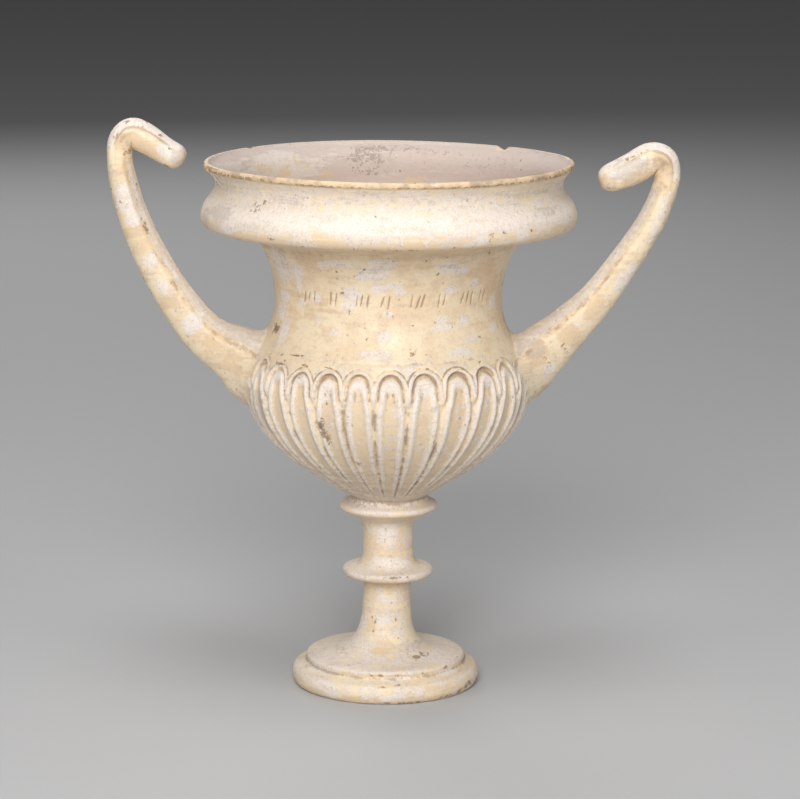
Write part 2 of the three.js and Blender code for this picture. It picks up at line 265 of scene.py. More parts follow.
    def whole(self) -> list[Point]:
        """Return the closed outline, from the axis under the foot to the axis in the bowl."""
        points: list[Point] = []
        for stretch in (self.outside(), self.lip_edge(), self.inside()):
            for point in stretch:
                if not points or math.dist(point, points[-1]) > 1e-5:
                    points.append(point)
        return points


@dataclass(frozen=True)
class RootZone:
    """The stretch of the wall where the handles grow out of it."""

    low: float = 0.135
    high: float = 0.200
    least_out: float = 0.040
    half_deep: float = 0.045

    def holds(self, x: float | np.ndarray, y: float | np.ndarray,
              z: float | np.ndarray) -> bool | np.ndarray:
        """Return whether a point, or each point of three rows, lies in the stretch."""
        beside = (abs(x) > self.least_out) & (abs(y) < self.half_deep)
        return beside & (z > self.low) & (z < self.high)


class Skin:
    """Tells where a point lies on the turned body: outside, in the hollow or on a handle."""

    def __init__(self, outline: CupOutline) -> None:
        """Lay out radii by height for the outside and the inside."""
        # the first eight points are the foot's underside
        outer = outline.outside()[8:]
        order = np.argsort([p[1] for p in outer], kind="stable")
        self.outer = np.array(outer)[order]
        inner = np.array(outline.inside()[::-1])
        self.inner = inner[np.argsort(inner[:, 1], kind="stable")]
        self.outline = outline

    def radius(self, height: np.ndarray | float) -> np.ndarray:
        """Return the outside's radius at each height."""
        return np.interp(height, self.outer[:, 1], self.outer[:, 0])

    def in_hollow(self, places: np.ndarray) -> np.ndarray:
        """Return 1 for each point on the inner side of the wall.

        Args:
            places: Points, one row each.

        Returns:
            One number from 0 to 1 for each point.
        """
        away = np.hypot(places[:, 0], places[:, 1])
        height = places[:, 2]
        inner = np.interp(height, self.inner[:, 1], self.inner[:, 0])
        top = self.outline.lip[1] - 0.0022
        near = np.where(height > top, away < self.outline.lip[0] - 0.0016, away < inner + 0.0011)
        return (near & (height > self.outline.bowl_foot[1] + 0.0035)).astype(float)

    def on_handle(self, places: np.ndarray) -> np.ndarray:
        """Return 1 for each point that stands clear of the turned body."""
        away = np.hypot(places[:, 0], places[:, 1])
        height = places[:, 2]
        rim = self.outline.roll[0] + 0.0004
        clear = np.where(height > self.outline.flare[1], away > rim,
                         away > self.radius(height) + 0.0005)
        return (clear & (height > 0.135) & (np.abs(places[:, 0]) > 0.045)).astype(float)


@dataclass(frozen=True)
class Carving:
    """What the tongues do to each point: a push in metres and three marks from 0 to 1."""

    push: np.ndarray
    # dug: soil in the grooves together with painted shadow under the arches
    dug: np.ndarray
    hollowed: np.ndarray
    ridge: np.ndarray


@dataclass
class Tongues:
    """Carving of the belly: tongues with raised edges under a row of thin arches."""

    count: int = 26
    front_places: tuple[float, ...] = (-51.0, -37.5, -24.7, -12.0, 1.0, 15.0, 29.7, 44.0, 57.5)
    front_heads: tuple[float, ...] = (
        165.0, 165.1, 164.3, 164.9, 165.4, 165.3, 164.8, 165.0, 165.6)
    front_arches: tuple[float, ...] = (
        168.3, 168.1, 168.8, 169.3, 169.4, 169.6, 169.5, 170.2, 170.2)
    hidden_head: float = 165.0
    hidden_arch: float = 169.4
    lean: float = 0.045
    foot: float = 0.0968
    wide_share: float = 0.88
    head_share: float = 0.68
    wide_until: float = 0.146
    narrow_from: float = 0.158
    groove: float = 0.0022
    channel: float = 0.0014
    line: float = 0.1712
    seed: int = 7

    def __post_init__(self) -> None:
        """Place the tongues and draw each one's own small faults."""
        random = np.random.default_rng(self.seed)
        shown = len(self.front_places)
        hidden = self.count - shown
        first, last = self.front_places[0] + 360.0, self.front_places[-1]
        steps = [last + (first - last) * (i + 1) / (hidden + 1) for i in range(hidden)]
        jitter = random.normal(0.0, 0.35, hidden)
        self.places = np.radians(np.concatenate([self.front_places, np.array(steps) + jitter]))
        fill = random.normal(0.0, 0.4, (2, hidden))
        self.heads = np.concatenate([self.front_heads, self.hidden_head + fill[0]]) * MM
        self.arches = np.concatenate([self.front_arches, self.hidden_arch + fill[1]]) * MM
        self.width_faults = random.normal(0.0, 0.025, self.count)
        self.depth_faults = 1.0 + random.normal(0.0, 0.10, self.count)
        round_once = 2.0 * math.pi
        self.knots = np.concatenate(
            [self.places[-3:] - round_once, self.places, self.places[:3] + round_once])

    def number(self, turn: np.ndarray) -> tuple[np.ndarray, np.ndarray]:
        """Return the nearest tongue of each angle, and how far off its middle it is, in pitches.

        Args:
            turn: Angles from the front, counted towards +X, in radians.

        Returns:
            The tongues' numbers and shares of a pitch from -0.5 to 0.5.
        """
        wrapped = np.mod(turn - self.knots[2], 2 * math.pi) + self.knots[2]
        even = np.interp(wrapped, self.knots, np.arange(len(self.knots)) - 3.0)
        which = np.round(even).astype(int)
        return np.mod(which, self.count), even - which

    def relief(self, turn: np.ndarray, height: np.ndarray, radius: np.ndarray) -> Carving:
        """Work out how far the carving moves the surface.

        Args:
            turn: Angle of each point from the front, in radians.
            height: Height of each point.
            radius: Distance of each point from the axis before carving.

        Returns:
            The push outwards and the marks of grooves, channels and ridges.
        """
        slide = self.lean * np.sin(turn) * np.clip((self.narrow_from - height) / 0.020, -0.2, 3.0)
        number, share = self.number(turn + slide)
        head = self.heads[number]
        arch = self.arches[number]
        pitch = radius * 2.0 * math.pi / self.count
        scale = np.clip(pitch / 0.0169, 0.22, 1.0)
        side = np.abs(share) * pitch

        narrow = ramp(height, self.wide_until, self.narrow_from)
        wide = mix(self.wide_share, self.head_share, narrow) * (1.0 + self.width_faults[number])
        body = wide * pitch / 2.0
        head_rise = np.minimum(0.0078, body * 1.30)
        off = self.ellipse(side, height - (head - head_rise), body, head_rise) / scale
        upward = ramp(height, head - 0.0050, head + 0.0008)
        gap = mix(0.0011, arch - head - 0.0025, upward)

        flank = ramp(off, mix(-0.0013, -0.0020, upward), mix(0.0006, 0.0012, upward))
        wall = ramp(gap - off, -0.0003, mix(0.0009, 0.0006, upward))
        between = pitch / 2.0 - body
        legs = ramp(height, self.wide_until + 0.001, self.narrow_from - 0.002)
        held = np.where(between / scale > gap, 1.0, 0.0) * legs
        dug = flank * mix(1.0, wall, np.maximum(legs, upward))
        rib = bump(off - gap - 0.0009, 0.00075) * legs
        outline = bump(off - gap - 0.0023, 0.00045) * ramp(height, 0.1600, 0.1640)

        past_edge = ramp(-off, 0.0028, 0.0044) * ramp(head - height, 0.003, 0.008)
        ridge = ramp(-off, -0.0002, 0.0008) * (1.0 - past_edge)
        inner = ramp(-off, 0.0022, 0.0047)
        below_head = ramp(head - height, 0.0032, 0.0085)
        hollowed = inner * below_head
        fine_side = ramp(height, self.foot, self.foot + 0.006)
        below_line = ramp(self.line - height, 0.0, 0.0006)
        shrink = scale ** 0.55
        push = -self.groove * dug * self.depth_faults[number] * shrink
        push -= self.channel * hollowed * shrink * (0.7 + 0.3 * scale)
        push += 0.00050 * rib * below_line + 0.00022 * bump(off + 0.0018, 0.0010) * scale
        push -= 0.00045 * outline * below_line * held
        push *= fine_side * ramp(self.line + 0.0008 - height, 0.0, 0.0012)
        push -= 0.00036 * bump(height - self.line, 0.00045)
        marked = fine_side * below_line
        # The groove mark is soil and painted shadow: strongest in the crescent under each arch, where the
        # arch's edge would shade it, and along the dark outline above it.
        dirt_and_shadow = np.clip(dug * mix(0.50, 0.95, upward) + 0.7 * outline * held, 0.0, 1.0)
        raised = np.clip(ridge + 0.6 * rib, 0.0, 1.0)
        return Carving(push, dirt_and_shadow * marked, hollowed * marked, raised * marked)

    @staticmethod
    def ellipse(side: np.ndarray, rise: np.ndarray, half: np.ndarray,
                reach: np.ndarray) -> np.ndarray:
        """Return the distance outside a shape with straight sides and a rounded head.

        Args:
            side: Distance from the middle line.
            rise: Height over the start of the rounded head.
            half: Half of the shape's width.
            reach: Height of the rounded head.

        Returns:
            Distances in metres, negative inside.
        """
        up = np.maximum(rise, 0.0)
        share = np.sqrt((side / half) ** 2 + (up / reach) ** 2)
        length = np.sqrt(side ** 2 + up ** 2)
        rounded = length * (1.0 - 1.0 / np.maximum(share, 1e-3))
        return np.where(rise > 0.0, np.maximum(rounded, -half), side - half)


@dataclass
class Strokes:
    """A row of shallow slanting strokes cut into the neck, which spell nothing."""

    height: float = 0.2002
    tall: float = 0.0070
    width: float = 0.00046
    depth: float = 0.00045
    half_row: float = 0.0052
    places: tuple[float, ...] = (-42.0, -26.5, -13.0, 0.2, 14.5, 28.5, 42.0, 54.5)
    seed: int = 11

    def cuts(self) -> list[tuple[Point, Point]]:
        """Return each stroke's two ends, as angle in radians and height."""
        random = np.random.default_rng(self.seed)
        cuts = []
        for i, place in enumerate(self.places):
            middle = math.radians(place)
            for k in range(2 if i % 2 else 3):
                offset = math.radians((k - 1) * 2.8 + random.uniform(-0.3, 0.3))
                lean = math.radians(random.uniform(0.35, 0.95))
                low = self.height - self.tall * random.uniform(0.38, 0.5)
                high = self.height + self.tall * random.uniform(0.32, 0.5)
                cuts.append(((middle + offset - lean, low), (middle + offset + lean, high)))
        return cuts

    def relief(self, turn: np.ndarray, height: np.ndarray, radius: float) -> np.ndarray:
        """Work out how deep the strokes are at each point.

        Args:
            turn: Angle of each point from the front, in radians.
            height: Height of each point.
            radius: The neck's radius at the row.

        Returns:
            A share from 0 to 1 of the strokes' depth.
        """
        cut = np.zeros_like(height)
        for (turn_one, low), (turn_two, high) in self.cuts():
            across = np.array([(turn_two - turn_one) * radius, high - low])
            from_start = np.stack([(turn - turn_one) * radius, height - low], axis=1)
            along = np.clip(from_start @ across / (across @ across), 0.0, 1.0)
            away = np.linalg.norm(from_start - along[:, None] * across, axis=1)
            taper = 0.6 + 0.4 * np.sin(math.pi * along)
            cut = np.maximum(cut, bump(away / taper, self.width))
        return cut


class Stain(Enum):
    """Kinds of places on the skin, in the order of their channels."""

    CHALK = 0
    TAN = 1
    UMBER = 2
    GREY = 3


@dataclass(frozen=True)
class Patch:
    """One stained, bare or chipped place on the turned body."""

    stain: Stain
    turn: float
    height: float
    wide: float
    tall: float
    lean: float = 0.0
    strength: float = 1.0
    deep: float = 0.0
    inside: bool = False

    def distance(self, places: np.ndarray, skin: Skin) -> np.ndarray:
        """Return how far each point lies from the middle, 1 at the patch's edge.

        Args:
            places: Points, one row each.
            skin: Finds the patch's middle on the body.

        Returns:
            One distance for each point.
        """
        height = self.height * MM
        if self.inside:
            radius = float(np.interp(height, skin.inner[:, 1], skin.inner[:, 0]))
        else:
            radius = float(skin.radius(height))
        turn = math.radians(self.turn)
        across = (places[:, 0] * math.cos(turn) + places[:, 1] * math.sin(turn))
        outward = (places[:, 0] * math.sin(turn) - places[:, 1] * math.cos(turn)) - radius
        rise = places[:, 2] - height
        sag = np.abs(across) ** 2 / (2.0 * radius)
        off_wall = np.where(np.abs(across) < radius, outward + sag, 1.0)
        along = np.sign(rise + 1e-9) * np.hypot(rise, off_wall)
        tilt = math.radians(self.lean)
        right = across * math.cos(tilt) + along * math.sin(tilt)
        up = along * math.cos(tilt) - across * math.sin(tilt)
        return np.hypot(right / (self.wide * MM), up / (self.tall * MM))


@dataclass(frozen=True)
class HandlePatch:
    """One stained place on the front of a handle, given by its place across and up."""

    stain: Stain
    out: float
    height: float
    wide: float
    tall: float
    lean: float = 0.0
    strength: float = 1.0
    behind: bool = False

    def distance(self, places: np.ndarray, skin: Skin) -> np.ndarray:
        """Return how far each point lies from the middle, 1 at the patch's edge.

        Args:
            places: Points, one row each.
            skin: Not needed on a handle; it is there so that both kinds of patch are asked alike.

        Returns:
            One distance for each point.
        """
        right = places[:, 0] - self.out * MM
        up = places[:, 2] - self.height * MM
        tilt = math.radians(self.lean)
        along = right * math.cos(tilt) + up * math.sin(tilt)
        across = up * math.cos(tilt) - right * math.sin(tilt)
        share = np.hypot(along / (self.wide * MM), across / (self.tall * MM))
        wrong_side = places[:, 1] < -0.002 if self.behind else places[:, 1] > 0.003
        return np.where(wrong_side, 9.0, share)


def patches(stain: Stain, *rows: Sequence[float], inside: bool = False) -> list[Patch]:
    """Return a patch for each row of angle, height, width, rise, lean, strength and depth."""
    return [Patch(stain, *row, inside=inside) for row in rows]


def handle_spots(stain: Stain, *rows: Sequence[float]) -> list[HandlePatch]:
    """Return a patch on a handle for each row of place out and up, width, rise and so on."""
    return [HandlePatch(stain, *row) for row in rows]


def neck_patches() -> list[Patch]:
    """Return the places on the neck and shoulder that show from the front."""
    return [
        *patches(Stain.CHALK, (-7, 213.5, 9, 4, 10), (-3, 219, 8, 2.2), (2.5, 208, 4, 2.2),
            (-5, 206, 4, 2.2), (5.5, 204.8, 3, 1.8), (-22, 218, 9, 2.2), (-17.5, 203, 4.5, 3.6),
            (-20, 197.6, 4, 1.8), (-31, 217, 3, 2), (-61, 214, 9, 10), (-48, 212, 5, 4.5),
            (-48.5, 205, 2, 4), (-47, 197, 2.5, 1.6), (-63, 198, 6, 3), (-67, 190, 6, 4.5),
            (-60, 181, 4, 8), (-38, 200, 3.5, 2.5, 0, 0.8), (28, 216, 7, 3.4), (36, 214, 4, 2.6),
            (31.5, 204.6, 4, 2), (45.5, 207, 3.2, 2), (0, 194, 2.6, 1.6), (24, 192.8, 8, 1.6, -6),
            (27, 187, 6.5, 2.2), (-1, 183, 4, 2.2), (-6, 175.6, 8, 2), (40, 189, 4, 2.2),
            (44, 179.5, 7, 1.2), (64, 196, 4, 3), (35, 175, 9, 1.8), (62, 183, 5, 2),
            (-36, 190, 3, 1.4), (-27, 184, 2, 1.2)),
        *patches(Stain.GREY, (-9, 214.5, 8, 1.6, 8, 0.7), (1, 219.5, 6, 1.2, 0, 0.6),
            (30, 216, 8, 1.6, -4, 0.7), (-22, 217.3, 7, 1, 0, 0.6), (33, 188, 4, 1.5, 0, 0.6),
            (-55, 216, 6, 8, 0, 0.55)),
        *patches(Stain.TAN, (-35, 219, 14, 4, 0, 0.8), (50, 212, 12, 9, 0, 0.75),
            (16, 218, 7, 4, 0, 0.6), (60, 204, 8, 8, 0, 0.8), (-55, 200, 7, 2, 0, 0.8),
            (-38, 196, 16, 12, 0, 0.45), (-56, 188, 9, 10, 0, 0.6), (50, 186, 10, 5, 0, 0.6)),
        *patches(Stain.UMBER, (-70, 181, 4.5, 2.2, 0, 1, 0.25), (-54.6, 171.4, 3, 0.45, 0, 1, 0.2),
            (-44.6, 172.1, 4.2, 0.6, 2, 1, 0.25), (-52.6, 167.3, 3.6, 0.8, 0, 0.95),
            (25.2, 220.6, 1.1, 0.7, 0, 0.8), (22.6, 212.8, 1, 0.8, 0, 0.7), (5, 210, 1.2, 0.8, 0, 0.75),
            (-14.8, 213, 1.3, 0.9, 30, 0.75), (-10.4, 215.6, 0.9, 0.7, 0, 0.7),
            (5.6, 207, 0.8, 0.8, 0, 0.7), (-22.5, 203.8, 1, 0.8, 0, 0.7),
            (48.4, 179.7, 1.1, 0.5, 0, 0.9), (9.6, 175.9, 0.8, 0.7, 0, 0.8),
            (12, 175.6, 0.5, 0.7, 0, 0.7), (-10, 182.6, 0.6, 0.6, 0, 0.7),
            (-22, 192.4, 1.5, 0.4, 10, 0.8), (-19.4, 194.6, 0.6, 0.5, 0, 0.7),
            (22.5, 188, 1, 0.8, 0, 0.6), (54.5, 208.8, 2, 0.6, 0, 0.6),
            (-37.5, 168.2, 2.8, 0.7, -14, 0.62), (-39, 166.5, 3, 0.5, -20, 0.55),
            (-26, 168.6, 3.4, 0.5, -8, 0.62), (-24.8, 164.9, 3, 0.5, -8, 0.62),
            (15, 168.9, 3.4, 0.6, 0, 0.55), (30.4, 166.6, 1, 0.9, 0, 0.85),
            (32.8, 167.6, 1, 0.7, 0, 0.75), (44, 169.9, 2, 0.5, 0, 0.75)),
    ]


def belly_patches() -> list[Patch]:
    """Return the places on the carved belly that show from the front."""
    return [
        *patches(Stain.UMBER, (-27.6, 141.5, 1.7, 3.4, -3, 1, 0.7), (-26.6, 137.5, 1.5, 3, 14, 1, 0.6),
            (-25.7, 133.4, 1.3, 3.2, 5, 1, 0.5), (-24.8, 152.6, 1.2, 1.8, 20, 0.62),
            (14.4, 142, 1.4, 1.4, 0, 0.6), (15, 156.6, 2.2, 0.5, -14, 0.6),
            (12.5, 132, 1.3, 1, 0, 0.65), (31, 150, 0.6, 0.6, 0, 0.9), (-49, 153.6, 0.8, 1.2, 0, 0.8),
            (-14, 122, 1, 1.4, 0, 0.6), (6, 128, 1.2, 1.2, 0, 0.6), (20, 134, 2.4, 0.8, 0, 0.65),
            (22.5, 120, 1.5, 0.7, 0, 0.7)),
        *patches(Stain.CHALK, (15, 161, 5.5, 5.5), (1, 162, 5.5, 3.5), (19, 154, 2, 3),
            (-12, 162.5, 5, 3), (-26, 157, 5, 7, 0, 0.8), (-5, 159.5, 1.6, 3),
            (44, 160, 3.6, 4, 0, 0.7), (56, 160, 3, 4, 0, 0.7), (9, 166, 2, 6, 0, 0.7),
            (61, 154, 2.2, 9, 0, 0.9)),
        *patches(Stain.GREY, (-66, 142, 10, 11), (-60, 133, 7, 6, 0, 0.6), (67, 143, 8, 7, 0, 0.9),
            (-22, 113, 26, 7, 0, 0.55), (16, 111, 24, 6, 0, 0.55), (5, 118, 6, 4, 0, 0.5),
            (18, 151, 1.6, 3, 0, 0.7)),
        *patches(Stain.TAN, (1.5, 155, 3, 3.4), (29.7, 150, 5.5, 17, 0, 0.8), (-24, 143, 4, 5, 0, 0.9),
            (8, 131, 2, 6), (32, 128, 10, 12, 0, 0.7), (14.5, 144, 3.4, 4, 0, 0.8),
            (50, 166, 16, 5, 0, 0.5), (-20.5, 156, 2, 5), (-20, 126, 3, 6, 0, 0.8)),
    ]


def rim_patches() -> list[Patch]:
    """Return the places on the roll, the waist and the lip."""
    return [
        # The chalk band round the roll at about 241 mm is chalk wear and a painted highlight.
        *patches(Stain.CHALK, (0, 241, 44, 6), (-34, 241, 26, 6), (40, 241, 28, 6),
            (-62, 240, 18, 6, 0, 0.9), (66, 240, 16, 6, 0, 0.9), (-56, 234, 6, 3), (28, 233.6, 3.5, 4),
            (43, 233.4, 4, 4), (36.5, 230.5, 6, 1), (-15, 236, 8, 2, 0, 0.6), (24, 231, 4, 1),
            (48, 258.6, 1.6, 0.7), (30, 259.2, 1.2, 0.6), (14, 259.4, 1.2, 0.6)),
        *patches(Stain.GREY, (-63, 240, 16, 5, 0, 0.75), (56, 242, 14, 4, 0, 0.6),
            (-74, 236, 9, 7, 0, 0.7), (40, 248, 12, 2, 0, 0.5), (-30, 249, 22, 2.4, 0, 0.55),
            (0, 250, 30, 2, 0, 0.5), (50, 251, 26, 3, 0, 0.55), (-66, 251, 22, 3, 0, 0.55)),
        # The tan band at about 231 mm, under the roll, is tan stain and painted shade.
        *patches(Stain.TAN, (-66, 231.5, 22, 2.2), (-20, 231.2, 50, 2.2, 0, 0.95), (12, 231.4, 20, 2.4),
            (-22, 235.4, 16, 2.2, 0, 0.8), (12, 236, 16, 2.4, 0, 0.8), (62, 233, 18, 3, 0, 0.9),
            (31, 235.6, 2.2, 2.2), (47, 235.4, 3.4, 1.5), (-60, 259.4, 40, 1.3), (0, 259.4, 60, 1.3),
            (60, 259.4, 40, 1.3)),
        *patches(Stain.UMBER, (31, 234.8, 1.6, 2.2, 10, 0.56), (35.2, 235.2, 2, 0.8, 0, 0.62),
            (-46.5, 246.8, 1.2, 1, 0, 0.7), (-43, 248, 1, 1.2, 0, 0.75),
            (-44.5, 245.3, 1.4, 0.6, 0, 0.72), (-46, 243.5, 2, 0.4, 0, 0.7),
            (-38.8, 235.8, 1.4, 0.6, 14, 0.72), (-36.5, 232.6, 0.8, 0.8, 0, 0.75),
            (-44.6, 236.4, 0.6, 0.6, 0, 0.65), (1.2, 232.6, 0.5, 1.2, 0, 0.7),
            (-5, 234.6, 0.5, 1, -20, 0.55), (0, 229.2, 60, 0.6, 0, 0.5), (-54, 258.3, 30, 0.8, 0, 0.66),
            (54, 258.3, 30, 0.7, 0, 0.6), (78, 259, 12, 1.2, 0, 0.6), (-18, 257.9, 34, 0.5, 0, 0.6),
            (20, 257.9, 34, 0.45, 0, 0.58), (-76, 258.6, 10, 1, 0, 0.62),
            (130, 258.2, 60, 0.6, 0, 0.56), (230, 258.2, 60, 0.6, 0, 0.56)),
    ]


def lining_patches() -> list[Patch]:
    """Return the places on the lining of the mouth."""
    return [
        *patches(Stain.TAN, (232, 250, 9, 3, 18, 0.8), (222, 246, 6, 3, -18, 0.85),
            (214, 251, 7, 2.4, 20, 0.75), (203, 244, 6, 3, 0, 0.7), (226, 240, 6, 3, 0, 0.6),
            (240, 243, 5, 2, 0, 0.6), (171, 239, 5.5, 4.5, 0, 0.95), inside=True),
        *patches(Stain.GREY, (188, 253, 12, 5, 0, 0.55), (181, 257, 20, 2.6, 0, 0.55),
            (186, 245, 10, 3, 0, 0.45), (160, 256, 18, 2, 0, 0.36), (140, 250, 20, 6, 0, 0.26),
            (60, 200, 40, 30, 0, 0.3), inside=True),
        *patches(Stain.CHALK, (226, 247, 30, 12, 0, 0.85), (255, 250, 36, 9, 0, 0.75),
            (20, 250, 90, 9, 0, 0.5), inside=True),
    ]


def foot_patches() -> list[Patch]:
    """Return the places on the stem, the disc, the collar and the foot."""
    return [
        *patches(Stain.CHALK, (-42, 6.4, 9, 2.2), (-34, 3.2, 6, 2.6, 0, 0.8), (4, 3.4, 7, 1.8),
            (-60, 11, 12, 1.8), (10, 11, 14, 1.4, 0, 0.8), (52, 11, 10, 1.6), (-70, 15.4, 12, 7),
            (62, 16, 14, 7), (16, 16, 7, 6, 0, 0.8), (-12, 17, 8, 3, 0, 0.8), (0, 78, 6, 7, 0, 0.8),
            (20, 62, 6, 2.5), (-12, 63, 8, 2, 0, 0.8), (-30, 92.5, 8, 3), (24, 93, 9, 3),
            (0, 44, 6, 3, 0, 0.7), (30, 55.5, 6, 1.4), (-6, 34, 5, 2.5), (-40, 58, 10, 1.6, 0, 0.7)),
        *patches(Stain.TAN, (-20, 2.5, 40, 2.2, 0, 0.9), (20, 7, 24, 1.6, 0, 0.9), (0, 13, 40, 1.1),
            (-6, 21, 8, 6, 0, 0.9), (-60, 78, 5, 10), (30, 76, 3, 7, 0, 0.8), (0, 52, 12, 1.6),
            (0, 88.4, 18, 1.4), (0, 56, 24, 1, 0, 0.9), (10, 32, 5, 6, 0, 0.6),
            (-35, 30, 4, 6, 0, 0.7)),
        *patches(Stain.UMBER, (-6, 12.8, 4, 0.6, 0, 0.75, 0.2), (6, 12.6, 4, 0.5, 0, 0.7),
            (30, 13, 3, 0.6, 0, 0.66), (50, 13.6, 4, 0.8, 0, 0.6), (-2, 8.8, 1.6, 0.8, 0, 0.8, 0.2),
            (8, 9.2, 1.8, 0.7, 0, 0.6), (62, 3.4, 3, 1.6, 0, 0.75, 0.4), (54, 1.6, 3, 1, 0, 0.75, 0.4),
            (40, 1.2, 4, 0.9, 0, 0.62, 0.3), (10, 0.9, 10, 0.7, 0, 0.55), (-8, 38.6, 3, 0.7, 0, 0.7),
            (8, 37.8, 2.4, 0.7, 0, 0.75), (-30, 34, 1.6, 1.8, 0, 0.6), (22, 33, 1, 1, 0, 0.6),
            (-34, 53, 2, 1, 0, 0.66), (34, 52, 2, 1, 0, 0.6), (34, 55.4, 2.4, 0.8, 0, 0.7, 0.3),
            (-6, 74.4, 0.6, 0.6, 0, 0.7), (-74, 57, 2, 1, 0, 0.6, 0.5), (0, 57.6, 14, 0.4, 0, 0.5),
            (44, 17, 8, 3, 0, 0.5), (14, 83.6, 2, 1, 0, 0.6)),
        *patches(Stain.GREY, (40, 20, 12, 5, 0, 0.6), (-64, 17, 10, 4, 0, 0.5),
            (-70, 10.6, 8, 1.6, 0, 0.6), (66, 10, 8, 2, 0, 0.6), (14, 66, 6, 2, 0, 0.5),
            (0, 92, 20, 2.4, 0, 0.5)),
    ]


def handle_patches() -> list[HandlePatch]:
    """Return the places on the front of both handles."""
    return [
        # The thin tan strips on the right bow near 110 to 120 mm and the thin grey ones on the left bow
        # near -120 to -86 mm follow the inner strip as painted shade.
        *handle_spots(Stain.TAN, (-121, 268.5, 10, 3.6, -24), (-113, 266, 6, 4, -30, 0.8),
            (-128, 259, 5, 9, 0, 0.75), (-124, 226, 8, 3.4, 20), (-120, 219, 7, 6, 24, 0.8),
            (-108, 191, 7, 3, 30), (-84, 172, 9, 6, 40, 0.8), (-76, 163, 8, 7, 30, 0.7),
            (120, 253.6, 9, 4, 14, 0.9), (106, 251, 5, 5, 0, 0.8), (131, 262, 5, 4, 0, 0.9),
            (120, 233, 2.4, 12, -18, 0.9), (110, 214, 2.4, 12, -30, 0.8), (134, 250, 4, 6, 0, 0.7),
            (100, 190, 5, 8, -36, 0.8), (88, 177, 8, 6, -40, 0.9), (73, 168, 6, 7, 10)),
        *handle_spots(Stain.CHALK, (-122, 279, 12, 1.5, -12), (-106, 270, 10, 1.5, -36),
            (-107, 264.5, 6, 4, -30, 0.9), (-127, 242, 5, 8, 14), (-122.6, 232.5, 5.4, 4, 20),
            (-116, 212, 5, 4, 28, 0.8), (-110, 200, 4, 5, 30, 0.6), (-94.6, 182, 8, 5, 42),
            (-61, 163, 2.4, 7, 10), (-66, 171, 4, 3, 30, 0.6), (112, 256, 7, 4, 16, 0.85),
            (121, 261.4, 5, 2.4, 20, 0.9), (133, 268, 3, 1.4, 0, 0.9), (131, 236, 2.6, 16, -17, 0.6),
            (114, 203, 4, 12, -34, 0.6), (79, 159, 3.4, 5, -30, 0.7), (92, 182, 3, 2, 0, 0.6)),
        *handle_spots(Stain.GREY, (-101, 261, 4.6, 5.4, 0, 0.9), (-124, 279.4, 6, 1.6, 0, 0.5),
            (-120.6, 247, 2, 13, 10, 0.9), (-112, 226, 2, 12, 26, 0.75), (-100, 204, 2, 13, 33, 0.75),
            (-86, 188, 2, 11, 48, 0.6), (-70, 148, 6, 3, 0, 0.6), (117, 258, 13, 6, 18, 0.75),
            (130.6, 261.4, 3, 2.6, 0, 0.6), (128.6, 221, 2.4, 7, -24, 0.7), (72, 170, 5, 5, 0, 0.9),
            (77, 149, 4, 4, 0, 0.7)),
        *handle_spots(Stain.UMBER, (-108.3, 261.4, 1.5, 1.1, 0, 0.6),
            (-105.6, 266.2, 0.7, 0.6, 0, 0.85), (-107.6, 257.4, 1.6, 0.7, 0, 0.8),
            (-126, 264.4, 2.6, 1.6, 40, 0.6), (-116.6, 278.4, 1.6, 0.5, -20, 0.75),
            (-110.6, 272.4, 1.4, 0.5, -30, 0.75), (-127, 278.2, 2, 0.7, 20, 0.65),
            (-131.6, 272, 1, 1.4, 0, 0.55), (-120.4, 253, 0.9, 4, 8, 0.6),
            (-129.4, 239.4, 0.7, 0.6, 0, 0.85), (-125.6, 247, 0.7, 0.6, 0, 0.8),
            (-127.6, 248, 0.6, 0.6, 0, 0.7), (-125, 238, 0.5, 0.5, 0, 0.8),
            (-125.4, 235.6, 0.6, 0.5, 0, 0.8), (-118, 229, 0.7, 4, 20, 0.55),
            (-110, 189, 3, 0.8, 30, 0.52), (118, 263.4, 8, 0.4, 24, 0.5), (84, 171, 7, 0.6, -40, 0.56),
            (78, 164, 5, 0.6, -46, 0.56), (107.4, 248.4, 2, 0.5, 0, 0.55)),
    ]


@dataclass(frozen=True)
class Zone:
    """How much of each stain lies all round the cup at one height."""

    height: float
    chalk: float
    tan: float
    grey: float


